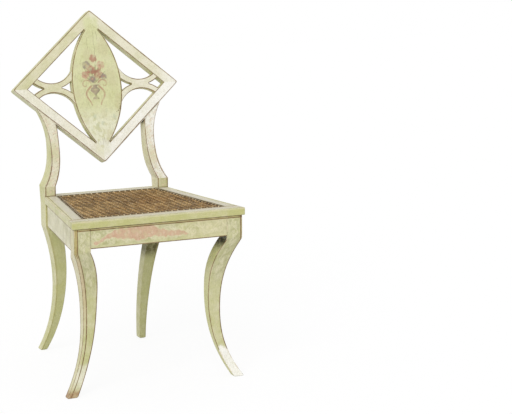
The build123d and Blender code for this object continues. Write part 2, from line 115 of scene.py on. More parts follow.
# %% [markdown]
# ## One tool for sawn wood
# Every wooden part here has four long faces: a leg, a rail, a rib. So one tool makes them all. It
# takes a row of stations, each with four corner points, rounds the four arrises a little, and
# stretches a skin over the rows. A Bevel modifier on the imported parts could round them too, but our own
# grid also tells us how far each point lies from the arrises, which the paint needs for its pinstripes.

# %% Loft tool
ARC = np.radians([0.0, 22.5, 45.0, 67.5, 90.0])


def unit(vectors):
    """Each vector divided by its own length."""
    return vectors / np.maximum(np.linalg.norm(vectors, axis=-1, keepdims=True), 1e-9)


def eased_ends(stations, radius, ends=(True, True)):
    """Rounds the outline of an end face. The last rows lie radius times (1 - sin a) before the end and
    are drawn in by radius times (1 - cos a) from each arris, for angles a from 0 to 90 degrees."""
    for flip, wanted in ((False, ends[0]), (True, ends[1])):
        if not wanted:
            continue
        rows = stations[::-1] if flip else stations
        inward = unit(rows[1] - rows[0])
        beyond = np.linalg.norm(rows - rows[0], axis=-1).min(axis=1) > radius * 1.4
        along = unit(np.roll(rows[0], -1, axis=0) - rows[0])
        draw_in = along - np.roll(along, 1, axis=0)
        back_off = (radius * (1 - np.sin(ARC)))[::-1, None, None]
        inset = (radius * (1 - np.cos(ARC)))[::-1, None, None]
        rows = np.concatenate([rows[0] + back_off * inward + inset * draw_in, rows[beyond]])
        stations = rows[::-1] if flip else rows
    return stations


def distance_along(path):
    """How far each point of a path lies from its first point, measured along the path."""
    return np.concatenate([[0], np.cumsum(np.linalg.norm(np.diff(path, axis=0), axis=-1))])


def at_cells(near, far):
    """Values at the four corners of every cell of a grid, from those along its near and far sides."""
    return np.stack([near[:-1], far[:-1], far[1:], near[1:]], -1).reshape(-1, 4)


def loft(stations, radius=1.2, cells=(1, 1, 1, 1)):
    """Skin over rows of four corners. Near corner C, with unit directions p to the previous corner and
    n to the next, the arris follows C + r ((1 - sin a) p + (1 - cos a) n); between the arrises a face
    has the given number of cells and a narrow strip along each side that keeps its shading flat."""
    stations = np.asarray(stations, float)
    to_next = np.roll(stations, -1, axis=1) - stations
    length = np.linalg.norm(to_next, axis=-1)
    along = unit(to_next)
    backward = -np.roll(along, 1, axis=1)
    room = 0.35 * np.minimum(length, np.roll(length, 1, axis=1))
    r = np.minimum(np.broadcast_to(radius, room.shape), room)
    off_last, on_next = (1 - np.sin(ARC))[:, None], (1 - np.cos(ARC))[:, None]
    rows, side = [], []
    for k in range(4):
        corner, heading = stations[:, k, None, :], along[:, k, None, :]
        rows.append(corner + r[:, k, None, None] * (off_last * backward[:, k, None, :] + on_next * heading))
        span = length[:, k] - r[:, k] - r[:, (k + 1) % 4]
        strip = np.minimum(0.7, 0.2 * span)[:, None]
        steps = r[:, k, None] + strip + (span[:, None] - 2 * strip) * np.linspace(0, 1, cells[k] + 1)
        rows.append(corner + steps[..., None] * heading)
        side += [(k - 1) % 4] * 2 + [k] * (len(ARC) - 1 + cells[k])
    rings = np.concatenate(rows, axis=1)
    count, n = rings.shape[:2]
    start, heading = stations[:, side], along[:, side]
    near = ((rings - start) * heading).sum(-1)
    far = ((np.roll(rings, -1, axis=1) - start) * heading).sum(-1)
    first = at_cells(near, far)
    second = at_cells(length[:, side], length[:, side]) - first
    index = np.arange(count * n).reshape(count, n)
    walk = distance_along(stations.mean(axis=1))
    walks = np.tile(walk[:, None], n)
    area = np.cross(rings[0] - rings[0, 0], np.roll(rings[0], -1, axis=0) - rings[0, 0]).sum(0)
    outward = 1 if area @ (rings[1].mean(0) - rings[0].mean(0)) > 0 else -1
    return {
        "points": rings.reshape(-1, 3),
        "quads": at_cells(index, np.roll(index, -1, axis=1))[:, ::outward],
        "caps": [index[0][::-outward], index[-1][::outward]],
        "side": np.tile(side, count - 1),
        "edge": np.stack([first, second], -1)[:, ::outward],
        "along": at_cells(walks, walks)[:, ::outward],
        "whole": walk[-1],
    }


print("loft tool ready, arris cut in", len(ARC) - 1, "steps")

# %% [markdown]
# ## From skins to Blender objects
# `from_pydata` turns the points and faces into a mesh. Each face corner then gets what the paint reads:
# how far it is from the face's two arrises, where the painted lines run, its place along the grain,
# and the colours that a brush has left there. Storing these on face corners lets a value jump at an
# arris, as paint does.

# %% Piece maker
from types import SimpleNamespace
FAR = 90.0
END_FACE, NO_SKIN = 9, 99


def gathered(skins):
    """Several skins as one: points, faces, and the per-corner arrays in the same order as the faces.
    end is a corner's distance from the nearer end of its own stick."""
    shift = np.cumsum([0] + [len(skin["points"]) for skin in skins])
    points = np.concatenate([skin["points"] for skin in skins])
    quads = np.concatenate([skin["quads"] + move for skin, move in zip(skins, shift)])
    caps = [cap + move for skin, move in zip(skins, shift) for cap in skin["caps"]]
    capped = sum(len(cap) for cap in caps)

    def per_corner(values, at_caps):
        shape = np.shape(at_caps)
        on_sides = [np.reshape(value, (-1,) + shape) for value in values]
        return np.concatenate(on_sides + [np.full((capped,) + shape, at_caps)])

    spots = SimpleNamespace(
        at=points[np.concatenate([quads.reshape(-1)] + caps)],
        side=per_corner([np.repeat(skin["side"], 4) for skin in skins], END_FACE),
        edge=per_corner([skin["edge"] for skin in skins], np.array([FAR, FAR])),
        part=per_corner([np.full(len(skin["side"]) * 4, i) for i, skin in enumerate(skins)], NO_SKIN),
        along=per_corner([skin["along"] for skin in skins], 0.0),
        end=per_corner([np.minimum(skin["along"], skin["whole"] - skin["along"]) for skin in skins], 0.0))
    spots.middle = (spots.edge[:, 0] - spots.edge[:, 1]) / 2
    return points, quads.tolist() + [cap.tolist() for cap in caps], spots


def on_chair(mesh, material, node=None):
    """Object for a finished mesh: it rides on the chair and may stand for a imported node."""
    mesh.materials.append(material)
    made = bpy.data.objects.new(mesh.name, mesh)
    bpy.context.scene.collection.objects.link(made)
    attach(made, "root")
    if node:
        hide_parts(node)
    print(mesh.name, len(mesh.polygons), "faces")


def piece(node, skins, paint, coat_of):
    """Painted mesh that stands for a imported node. coat_of(spots) gives the coat, whose layers go to
    the face corners."""
    points, faces, spots = gathered(skins)
    mesh = bpy.data.meshes.new(node + "_painted")
    mesh.from_pydata(place(points).tolist(), [], faces)
    mesh.shade_smooth()
    mesh.set_sharp_from_angle(angle=math.radians(50))
    coat = coat_of(spots)
    grain = np.stack([spots.along, spots.edge[:, 0] + 60.0 * spots.side], -1)
    for label, pair in (("arris", spots.edge), ("cross", coat.cross), ("grain", grain)):
        mesh.uv_layers.new(name=label).uv.foreach_set("vector", (pair / 1000).astype(np.float32).ravel())
    for label, colour in (("tone", coat.tone), ("lines", coat.lines / 1000), ("brush", coat.brush)):
        layer = mesh.color_attributes.new(label, "FLOAT_COLOR", "CORNER")
        layer.data.foreach_set("color", colour.astype(np.float32).ravel())
    on_chair(mesh, paint, node)


def both_hands(stations):
    """The right-hand rows and their mirror image on the left."""
    rows = np.asarray(stations, float)
    return {"right": rows, "left": rows * [-1.0, 1.0, 1.0]}


def corners(*columns):
    """Rows of four corners from x, y and z of each corner, any of which may be an array."""
    shaped = np.broadcast_arrays(*[value for column in columns for value in column])
    return np.stack(shaped, -1).reshape(-1, 4, 3)


print("piece maker ready, end faces count as side", END_FACE)

# %% [markdown]
# ## Aged paint
# The whole chair wears one old oil paint: pale green under a worn cream glaze, lined in olive brown,
# rubbed at the arrises and darkened in the corners. A shader can't know where a painter put the lines,
# so it reads them from the mesh: `arris` holds distances from the two arrises, `lines` how far in the
# lines run, `tone` how creamy, rubbed, grimy or chalky a place is, and `brush` the ornament. In a few
# places the grimy share holds painted shade, the chalky share a painted highlight, and the brush painted
# light and shade. Noises on Object coordinates break all of it up, and noises along the `grain` give
# the streaks of the brush.

# %% Paint recipe
def tint(red, green, blue):
    """Colour as a painter's chart gives it, 0 to 255, turned into the linear values a shader uses."""
    return tuple(((part / 255 + 0.055) / 1.055) ** 2.4 for part in (red, green, blue)) + (1.0,)


def wired(tree, kind, wires=None, **values):
    """New shader node: wires maps its inputs to sockets or plain values, values sets its properties."""
    made = tree.nodes.new(kind)
    for key, value in values.items():
        setattr(made, key, value)
    for key, value in (wires or {}).items():
        if isinstance(value, bpy.types.NodeSocket):
            tree.links.new(value, made.inputs[key])
        else:
            made.inputs[key].default_value = value
    return made


class Recipe:
    """Short calls that add nodes to one material and hand back their output sockets."""

    def __init__(self, name, roughness, specular=0.5):
        self.material = bpy.data.materials.new(name)
        self.material.use_nodes = True
        self.tree = self.material.node_tree
        self.shader = self.tree.nodes["Principled BSDF"]
        self.shader.inputs["Roughness"].default_value = roughness
        self.shader.inputs["Specular IOR Level"].default_value = specular
        self.place = wired(self.tree, "ShaderNodeTexCoord").outputs["Object"]

    def calc(self, operation, first, second=0.0, clamp=False):
        wires = {0: first, 1: second}
        return wired(self.tree, "ShaderNodeMath", wires, operation=operation, use_clamp=clamp).outputs[0]

    def times(self, first, second, clamp=False):
        return self.calc("MULTIPLY", first, second, clamp)

    def plus(self, first, second, clamp=False):
        return self.calc("ADD", first, second, clamp)

    def mix(self, share, first, second, way="MIX"):
        """A colour may be a socket or the three numbers of the painter's chart."""
        first, second = (tint(*colour) if isinstance(colour, tuple) else colour for colour in (first, second))
        wires = {0: share, 6: first, 7: second}
        return wired(self.tree, "ShaderNodeMix", wires, data_type="RGBA", blend_type=way).outputs[2]

    def noise(self, scale, detail=3.0, stretch=(1, 1, 1), at=None, rough=0.5):
        spread = wired(self.tree, "ShaderNodeMapping", {"Vector": at or self.place, "Scale": stretch})
        wires = {"Vector": spread.outputs[0], "Scale": scale, "Detail": detail, "Roughness": rough}
        return wired(self.tree, "ShaderNodeTexNoise", wires).outputs["Fac"]

    def between(self, value, low, high, to_low=0.0, to_high=1.0):
        wires = {"Value": value, "From Min": low, "From Max": high, "To Min": to_low, "To Max": to_high}
        return wired(self.tree, "ShaderNodeMapRange", wires, interpolation_type="SMOOTHSTEP").outputs[0]

    def grey(self, value):
        return wired(self.tree, "ShaderNodeCombineColor", {0: value, 1: value, 2: value}).outputs[0]

    def laid(self, name):
        return wired(self.tree, "ShaderNodeUVMap", uv_map=name).outputs[0]

    def pair(self, name):
        parts = wired(self.tree, "ShaderNodeSeparateXYZ", {0: self.laid(name)})
        return parts.outputs[0], parts.outputs[1]

    def four(self, name):
        layer = wired(self.tree, "ShaderNodeVertexColor", layer_name=name)
        parts = wired(self.tree, "ShaderNodeSeparateColor", {0: layer.outputs["Color"]})
        return [parts.outputs[0], parts.outputs[1], parts.outputs[2], layer.outputs["Alpha"]]

    def bump(self, height, depth):
        made = wired(self.tree, "ShaderNodeBump", {"Height": height, "Strength": 1.0, "Distance": depth})
        self.tree.links.new(made.outputs[0], self.shader.inputs["Normal"])

    def finish(self, colour):
        self.tree.links.new(colour, self.shader.inputs["Base Color"])
        return self.material


print("recipe ready, mid grey is", round(tint(128, 128, 128)[0], 3), "in linear light")

# %% The paint itself
CELADON, CREAM, CHALK = (194, 193, 136), (226, 220, 190), (247, 245, 236)
DARK_LINE, OLIVE_LINE = (112, 78, 38), (144, 114, 62)
GRIME, GESSO = (104, 92, 54), (222, 204, 172)
LINE_CORE, LINE_RIM, THINNER = 0.0007, 0.0016, 0.0005


def pinstripes(mix, broken):
    """Coverage of the painted lines: a place is on one where its distance from an arris is the line's
    own, give or take half the line's width and a little waver of the hand. Every second line is thin."""
    near, far = mix.pair("arris")
    edges = zip((near, near, far, far), mix.four("lines"))
    aways = [mix.calc("ABSOLUTE", mix.calc("SUBTRACT", edge, offset)) for edge, offset in edges]
    aways += [mix.calc("ABSOLUTE", distance) for distance in mix.pair("cross")]
    nearest = aways[0]
    for number, away in enumerate(aways[1:]):
        away = away if number % 2 else mix.plus(away, THINNER)
        nearest = mix.calc("MINIMUM", nearest, away)
    waver = mix.between(mix.noise(40.0, 2.0), 0.3, 0.7, -0.0002, 0.0002)
    on_line = mix.between(mix.plus(nearest, waver), LINE_CORE, LINE_RIM, 1.0, 0.0)
    return mix.times(on_line, mix.between(broken, 0.3, 0.46, 0.65, 0.95))


def aged_paint(name, crackled, thinnest):
    """Green and cream by tone, streaks and mottling, ornament that is worn down to its thinnest share in
    places, rubbed arrises, lines, cracks, and grime that in a few places is painted shade."""
    mix = Recipe(name, 0.52)
    cream_share, wear, grime, chalk = mix.four("tone")
    patches = mix.noise(26.0, 5.0, rough=0.62)
    fine = mix.noise(260.0, 4.0, rough=0.65)
    broken = mix.noise(95.0, 4.0)
    streaks = mix.noise(1.0, 5.0, (45, 620, 1), mix.laid("grain"), 0.62)

    cream = mix.plus(cream_share, mix.between(patches, 0.3, 0.7, -0.3, 0.3))
    cream = mix.plus(cream, mix.between(streaks, 0.3, 0.7, -0.16, 0.16), clamp=True)
    colour = mix.mix(cream, CELADON, CREAM)
    mottled = mix.between(mix.plus(patches, fine), 0.75, 1.1, 0.7, 1.0)
    colour = mix.mix(mix.times(chalk, mottled, clamp=True), colour, CHALK)

    ornament = wired(mix.tree, "ShaderNodeVertexColor", layer_name="brush")
    worn_down = mix.between(broken, 0.36, 0.54, thinnest, 1.0)
    colour = mix.mix(mix.times(ornament.outputs["Alpha"], worn_down), colour, ornament.outputs["Color"])
    uneven, streaky = mix.between(fine, 0.3, 0.7, 0.93, 1.05), mix.between(streaks, 0.3, 0.72, 0.96, 1.035)
    colour = mix.mix(1.0, colour, mix.grey(mix.times(uneven, streaky)), "MULTIPLY")

    near, far = mix.pair("arris")
    arris = mix.calc("MINIMUM", near, far)
    rub = mix.times(mix.between(arris, 0.0003, 0.002, 1.0, 0.0), mix.between(broken, 0.42, 0.6, 0.2, 0.6))
    colour = mix.mix(mix.times(rub, mix.between(wear, 0.0, 0.5)), colour, GRIME)
    bared = mix.times(mix.between(arris, 0.001, 0.005, 1.0, 0.0), mix.between(mix.noise(55.0, 5.0), 0.5, 0.6))
    colour = mix.mix(mix.times(bared, wear, clamp=True), colour, GESSO)
    line_colour = mix.mix(mix.between(patches, 0.45, 0.7), DARK_LINE, OLIVE_LINE)
    colour = mix.mix(pinstripes(mix, broken), colour, line_colour)
    chip = mix.between(mix.noise(150.0, 3.0, rough=0.7), 0.655, 0.675)
    colour = mix.mix(mix.times(chip, wear, clamp=True), colour, GESSO)

    spread = wired(mix.tree, "ShaderNodeMapping", {"Vector": mix.place, "Scale": (3.0, 1.0, 0.5)})
    wires = {"Vector": spread.outputs[0], "Scale": 55.0}
    rim = wired(mix.tree, "ShaderNodeTexVoronoi", wires, feature="DISTANCE_TO_EDGE").outputs["Distance"]
    split = mix.times(mix.between(rim, 0.0, 0.05, 1.0, 0.0), mix.between(mix.noise(16.0, 2.0), 0.48, 0.6))
    colour = mix.mix(mix.times(split, crackled), colour, GRIME)
    # Grime, and painted shade where a coat puts shade in the grime share.
    dirt = mix.times(grime, mix.between(fine, 0.25, 0.6, 0.75, 1.0), clamp=True)
    colour = mix.mix(dirt, colour, GRIME)
    mix.bump(mix.plus(mix.times(streaks, 0.6), mix.times(fine, 0.4)), 0.0004)
    return mix.finish(colour)


painted = aged_paint("aged_paint", 0.1, 0.72)
panel_paint = aged_paint("aged_paint_on_the_panel", 0.22, 0.4)
print("paint nodes:", len(painted.node_tree.nodes))

# %% [markdown]
# ## A coat for each piece
# A painter lays an undercoat, glazes it, draws the lines and then the ornament. A coat does the same
# for the face corners of one piece. All of it is array work: a place is chosen by a mask, and a colour
# is laid there as strongly as its coverage says.

# %% Coats
OFF = -1000.0
BARE_WOOD = (88, 62, 36)


def soft(value, low, high):
    """Smooth step from 0 at low to 1 at high."""
    share = np.clip((value - low) / (high - low), 0, 1)
    return share * share * (3 - 2 * share)


def fading(value, low, high):
    """Smooth step from 1 at low to 0 at high."""
    return 1 - soft(value, low, high)


def wander(first, second, size):
    """Slow waver between -1 and 1: a few crossing sines, for edges that shouldn't run straight."""
    a, b = first / size, second / size
    bent = np.sin(a + 1.3 * np.sin(b * 0.7))
    return (bent + np.sin(1.9 * b - 0.8 * a + 1.0) + np.sin(3.1 * a + 0.6 * b + 2.0)) / 3


class Coat:
    """What the paint of one piece holds at each face corner: tone is cream, wear, grime and chalk, lines
    are two distances from each arris, cross is how far off a line across the piece lies, and brush is
    the ornament. Grime, chalk and brush also carry painted shade and highlight on some pieces. Faces are
    numbered as the loft's corners are."""

    def __init__(self, spots, cream=(0.3, 0.3, 0.3, 0.3), wear=0.5, ends=0.15):
        count = len(spots.side)
        self.spots = spots
        self.tone = np.zeros((count, 4))
        self.tone[:, 0] = np.array(list(cream) + [0.3] * (END_FACE - 3))[spots.side]
        self.tone[:, 1] = wear
        self.tone[:, 2] = ends * np.exp(-spots.end / 2.2)
        self.lines = np.full((count, 4), OFF)
        self.cross = np.full((count, 2), FAR)
        self.brush = np.zeros((count, 4))

    def face(self, number, where=True):
        """Mask of one face, as numbers 0 and 1."""
        return (self.spots.side == number) * np.asarray(where, float)

    def draw(self, number, offsets, where=True):
        """Lines along a face: two distances from its first arris, then two from its second."""
        chosen = self.face(number, where) > 0
        for slot, offset in enumerate(offsets):
            if offset is not None:
                self.lines[chosen, slot] = offset

    def rule(self, slot, away, where):
        """A line across the front face, away being how far each place lies from it."""
        self.cross[:, slot] = np.where(self.face(0, where) > 0, away, FAR)

    def recream(self, number, share, where):
        """Changes how creamy one face is in some places."""
        self.tone[:, 0] = np.where(self.face(number, where) > 0, share, self.tone[:, 0])

    def lay(self, colour, cover):
        """Lays a colour over the brushwork. cover is 0 to 1 at each corner."""
        old = self.brush[:, 3] * (1 - cover)
        total = np.maximum(cover + old, 1e-6)
        laid = np.array(tint(*colour)[:3]) * cover[:, None] + self.brush[:, :3] * old[:, None]
        self.brush[:, :3] = laid / total[:, None]
        self.brush[:, 3] = cover + old

    def wash(self, number, colour, share, where=True):
        """Lays a colour over one face as strongly as share says."""
        self.lay(colour, self.face(number, where) * share)


print("coats ready")

# %% [markdown]
# ## Brushwork
# Painted ornament is a set of strokes: rows of dabs with a radius each. A place is covered where it
# lies inside a dab, with a soft rim about as wide as the grid's cells. A running scroll repeats along a
# board, so its strokes are drawn once, and the place along the board is taken modulo the repeat.

# %% Brush tools
def dabs(at, centres, radii, rim=0.9):
    """Coverage of places by round dabs: 1 inside a dab, falling to 0 across its rim."""
    cover = np.zeros(len(at))
    for centre, radius in zip(centres, np.broadcast_to(radii, len(centres))):
        away = np.hypot(at[:, 0] - centre[0], at[:, 1] - centre[1])
        cover = np.maximum(cover, np.clip((radius - away) / rim + 0.5, 0, 1))
    return cover


def curl(centre, start, turns, radius, first, steps=26):
    """Spiral stroke: its reach shrinks evenly to a seventh while the angle runs through its turns."""
    share = np.linspace(0, 1, steps)
    angle = start + turns * 2 * np.pi * share
    reach = radius * (1 - 0.86 * share)
    path = np.stack([centre[0] + reach * np.cos(angle), centre[1] + reach * np.sin(angle)], -1)
    return path, first * (1 - 0.45 * share)


def leaf(root, direction, length, width, steps=9):
    """Leaf stroke: dabs along a line whose radius swells and closes as a half sine."""
    share = np.linspace(0.04, 0.96, steps)
    way = np.array([math.cos(direction), math.sin(direction)])
    return np.asarray(root) + length * share[:, None] * way, width * np.sin(np.pi * share) ** 0.8 + 0.25


def scroll_strokes(repeat, swing):
    """One repeat of a running scroll: a waving stem, a curl in each bend, and leaves that fill in."""
    x = np.linspace(0, repeat, 40, endpoint=False)
    stem = np.stack([x, 0.8 * swing * np.sin(2 * np.pi * x / repeat)], -1)
    strokes = [(stem, np.full(len(x), 0.06 * swing + 0.5))]
    for centre, way in ((repeat * 0.25, -1), (repeat * 0.75, 1)):
        heart = (centre, way * swing * 0.25)
        strokes.append(curl(heart, -way * math.pi / 2, -way * 1.35, swing * 0.7, 0.07 * swing + 0.45))
        strokes.append((np.array([heart]), np.array([0.16 * swing + 0.3])))
        for turn in (-0.55, 0.15, 0.85):
            root, direction = (centre - 0.2 * repeat, 0), way * (1.2 + turn)
            strokes.append(leaf(root, direction, swing * 0.8, 0.1 * swing + 0.3))
    return strokes


def running_scroll(along, across, repeat, swing, rim=1.1):
    """Coverage of a scroll that runs along a board, across being measured from the board's middle."""
    at = np.stack([np.mod(along, repeat), across], -1)
    cover = np.zeros(len(at))
    for path, radii in scroll_strokes(repeat, swing):
        for shift in (-repeat, 0.0, repeat):
            inside = (path[:, 0] + shift > -swing) & (path[:, 0] + shift < repeat + swing)
            cover = np.maximum(cover, dabs(at, path[inside] + [shift, 0], radii[inside], rim))
    return cover


print("strokes in one repeat of scroll:", len(scroll_strokes(60, 15)))

# %% [markdown]
# ## Front legs
# Each front leg is one stick of wood: a square block that takes the aprons, and below it a sabre leg
# that bows in to a waist and kicks out to the foot. Its four edges follow the same kind of curve, a
# power of the way from the waist to the knee or to the foot, so it is a loft over heights. Block and
# leg share one skin, which lets the paint run over the knee. A stencilled vine hangs down its front.

# %% Front legs
def bow(z, block, waist, inset, flare, power=2.35):
    """Edge of a leg: block - inset at the waist, plus inset times the share of the way up to the knee
    raised to a power, or plus flare times the share of the way down to the foot raised to it."""
    above = np.clip((z - waist) / (KNEE - waist), 0, None)
    below = np.clip((waist - z) / waist, 0, None)
    return block - inset + inset * above ** power + flare * below ** power


def knee_bend(away):
    """Hollow at the knee, fading out with the distance from it: 0.3 (sqrt(away^2 + 9^2) - away)."""
    return 0.3 * (np.hypot(away, 9.0) - away)


FRONT_OUTER = apron_side(OVERHANG)
FRONT_INNER = FRONT_OUTER - 42.8
FRONT_HIND = OVERHANG + 48.0
SOLE_EASE = 5.0


def front_leg_rows():
    """Rows of the right-hand leg from sole to knee; the side apron's plane trims its outer face."""
    z = np.concatenate([np.linspace(0, 30, 7)[:-1], np.linspace(30, KNEE - 1, 90), [KNEE - 0.4, KNEE]])
    outer = bow(z, FRONT_OUTER, waist=187.0, inset=38.1, flare=55.6)
    inner = bow(z, FRONT_INNER, waist=246.0, inset=30.9, flare=63.5)
    fore = -bow(z, -OVERHANG, waist=152.0, inset=57.8, flare=26.0)
    fore += knee_bend(KNEE - z) * (z > 250)
    hind = -bow(z, -FRONT_HIND, waist=184.0, inset=33.8, flare=30.5)
    trimmed = [np.where(z > 187, np.minimum(outer, apron_side(y)), outer) for y in (fore, hind)]
    return corners((inner, fore, z), (trimmed[0], fore, z), (trimmed[1], hind, z), (inner, hind, z))


def front_block_rows():
    """Rows of the square block over the knee."""
    z = np.concatenate([[KNEE + 0.4, KNEE + 1.2], np.linspace(KNEE + 2.5, SEAT_UNDER, 40)])
    fore = OVERHANG + np.clip(knee_bend(z - KNEE) - 0.198, 0, None)
    return corners((FRONT_INNER, fore, z), (FRONT_OUTER, fore, z),
                   (apron_side(FRONT_HIND), FRONT_HIND, z), (FRONT_INNER, FRONT_HIND, z))


print("front leg block is", round(FRONT_OUTER - FRONT_INNER, 1), "by", FRONT_HIND - OVERHANG, "mm")

# %% Coat of the front legs
PALE_STENCIL, SHADED_STENCIL = (224, 218, 184), (170, 168, 122)
STRIP = (196, 180, 118)
TOP_LINE, LINE_GAP = SEAT_UNDER - 5.5, 4.3
VINE_LOW, VINE_HIGH = 235.0, TOP_LINE - 2


def vine_on_leg(coat):
    """Stencilled vine down a leg, fading towards its lower end."""
    z, across = coat.spots.at[:, 2], coat.spots.middle
    fade = soft(z, VINE_LOW, VINE_LOW + 60) * fading(z, VINE_HIGH - 4, VINE_HIGH)
    coat.wash(0, SHADED_STENCIL, fade * 0.5 * soft(wander(across, z, 7.0), -0.7, 0.4))
    coat.wash(0, PALE_STENCIL, fade * 0.75 * running_scroll(z, across, 47.0, 10.5))
    coat.wash(0, PALE_STENCIL, fade * 0.5 * soft(wander(across + 5, z, 3.1), 0.35, 0.6))


def left_front_leg(coat, z, inner, outer, foot):
    """Two lines on the front, a brown strip beside them, and a foot scuffed down to the brown wood."""
    coat.draw(0, (None, None, 8.5, None))
    coat.draw(0, (None, None, None, 4.6), z >= KNEE - 15)
    coat.draw(0, (1.6, None, None, None), z < KNEE)
    coat.draw(1, (0.8, None, 3.0, None))
    beside_the_line = fading(outer, 7.6, 8.6)
    coat.wash(0, (196, 178, 108), beside_the_line * 0.8 * soft(z, 350, 375))
    coat.wash(0, (214, 190, 156), beside_the_line * 0.6 * fading(z, 350, 375) * soft(z, 120, 260))
    coat.wash(1, GESSO, 0.4 * soft(wander(inner, z, 16.0), 0.0, 0.5) * soft(z, 190, 300))
    coat.tone[:, 3] = coat.face(0) * 0.45 * foot * soft(z, 8, 40)
    for number in (0, 1):
        coat.wash(number, (160, 118, 82), 0.8 * fading(z, 10, 24))


def right_front_leg(coat, z, outer, foot):
    """Lines near both arrises, a chalky foot, and green on the inner side that faces the light, painted paler
    low down as painted light, and olive higher up.
    """
    coat.draw(0, (0.9, None, 1.8, None), (z < KNEE) & (z > 70))
    coat.draw(0, (None, None, 4.6, None), z >= KNEE)
    coat.draw(1, (1.5, None, 2.5, None), z > 70)
    coat.tone[:, 3] = (coat.face(0) + coat.face(1) * 0.8) * foot
    coat.wash(0, (160, 138, 86), fading(outer, 4.0, 5.0) * 0.75 * soft(z, 350, 375))
    # Painted light: the inner side is paler low down, where it faces the light.
    coat.wash(3, (216, 215, 158), 0.7 * fading(z, 220, 330))
    coat.wash(3, (190, 192, 118), 0.6 * soft(z, 270, 340))


def front_leg_coat(spots, left):
    """Lines down both arrises, a line across under the seat, a vine, gesso where the foot is rubbed, and
    painted shade, nearly black, on the inner and back faces just under the aprons.
    """
    z, inner, outer = spots.at[:, 2], spots.edge[:, 0], spots.edge[:, 1]
    coat = Coat(spots, (0.27, 0.6, 0.3, 0.2) if left else (0.3, 0.35, 0.3, 0.22), wear=0.5, ends=0.0)
    vine_on_leg(coat)
    coat.wash(0, STRIP, 0.8, z >= TOP_LINE)
    foot = soft(78.0 + 7.0 * wander(spots.at[:, 0], z, 9.0) - z, -4.0, 5.0)
    if left:
        left_front_leg(coat, z, inner, outer, foot)
    else:
        right_front_leg(coat, z, outer, foot)
    past_the_line = outer > (8.5 if left else 0.0)
    coat.rule(0, z - TOP_LINE, past_the_line)
    coat.rule(1, z - TOP_LINE - LINE_GAP, past_the_line)
    # Painted shade: nearly black on the inner and back faces just under the aprons.
    coat.lay((38, 35, 16), 0.95 * soft(z, 336, 366) * (coat.face(3) + coat.face(2)))
    return coat


legs, blocks = both_hands(front_leg_rows()), both_hands(front_block_rows())
for hand in ("left", "right"):
    rows = eased_ends(np.concatenate([legs[hand], blocks[hand]]), SOLE_EASE, (True, False))
    piece(f"front_leg_{hand}", [loft(rows, 1.3, (22, 12, 3, 3))], painted,
          lambda spots: front_leg_coat(spots, hand == "left"))

# %% [markdown]
# ## Rear legs, posts and stiles
# The rear leg, the post and the stile are sawn from one plank: the leg sweeps backwards, the post is
# upright through the seat, and the stile bends in to a waist and out again to meet the lozenge. Three
# skins in one object follow the three parts, and the top rows end on the slope of the lozenge's edge.

# %% Rear legs
LOZENGE_Z = 727.4
LOZENGE_Y = POST_FRONT + math.tan(RAKE) * (LOZENGE_Z - POST_TOP)
HALF_WIDTH, HALF_HEIGHT, RAIL_WIDTH = 233.0, 206.0, 27.5
STILE_WAIST, STILE_OUTER = 580.0, 175.0
STILE_HEAD = LOZENGE_Z - HALF_HEIGHT * (1 - STILE_OUTER / HALF_WIDTH) * math.cos(RAKE)
LEG_INNER = POST_OUTER - 42.5


def stile_front(z):
    """y of the stile's front face, in the plane of the back."""
    return POST_FRONT + math.tan(RAKE) * (z - POST_TOP)


def post_back(z):
    """y of the raked back face: a straight line from the seat's underside to the stile's head."""
    low, high = POST_FRONT + 40.0, stile_front(STILE_HEAD) + 25.0
    return low + (high - low) * (z - SEAT_UNDER) / (STILE_HEAD - SEAT_UNDER)


def stile_edge(z, post, waist, head):
    """x of a stile's edge: its waist at 580 mm, plus a power of the share of the way down or up."""
    below = np.clip((STILE_WAIST - z) / (STILE_WAIST - POST_TOP), 0, None)
    above = np.clip((z - STILE_WAIST) / (STILE_HEAD - STILE_WAIST), 0, None)
    return waist + (post - waist) * below ** 2.6 + (head - waist) * above ** 2.1


def rear_leg_rows():
    """Rows of the right-hand rear leg: its middle leans back and kicks out as the cube of the drop."""
    z = np.concatenate([np.linspace(0, KNEE, 60), np.linspace(KNEE + 4, SEAT_UNDER, 10)])
    drop = np.clip(KNEE - z, 0, None)
    middle = POST_FRONT + 20.0 + 0.168 * drop + 68.5 * (drop / KNEE) ** 3
    half = (26.0 + 14.0 * np.clip(z / KNEE, 0, 1) ** 1.5) / 2
    curved = bow(z, POST_OUTER, waist=152.0, inset=38.0, flare=18.8, power=2.1)
    outer = np.where(z < KNEE, curved, POST_OUTER)
    curved = bow(z, LEG_INNER, waist=195.0, inset=22.4, flare=27.2, power=2.1)
    inner = np.where(z < KNEE, curved, LEG_INNER)
    fore, hind = middle - half, middle + half
    return corners((inner, fore, z), (outer, fore, z), (outer, hind, z), (inner, hind, z))


def post_rows():
    """Rows of the post block through the seat: upright in front, raked behind."""
    z = np.linspace(SEAT_UNDER, POST_TOP, 16)
    return corners((POST_INNER, POST_FRONT, z), (POST_OUTER, POST_FRONT, z),
                   (POST_OUTER, post_back(z), z), (POST_INNER, post_back(z), z))


def head_height(edge, face):
    """Height at which an edge of the stile runs into the lower edge of the lozenge."""
    z = np.linspace(600, 760, 3201)
    in_plane = (face(z) - LOZENGE_Y) * math.sin(RAKE) + (z - LOZENGE_Z) * math.cos(RAKE)
    gap = in_plane + HALF_HEIGHT * (1 - edge(z) / HALF_WIDTH)
    return z[np.argmax(gap > 0)]


def stile_inner(z):
    """x of the stile's inner edge."""
    return stile_edge(z, POST_INNER, waist=122.0, head=126.0)


def stile_outer(z):
    """x of the stile's outer edge."""
    return stile_edge(z, POST_OUTER, waist=147.0, head=STILE_OUTER)


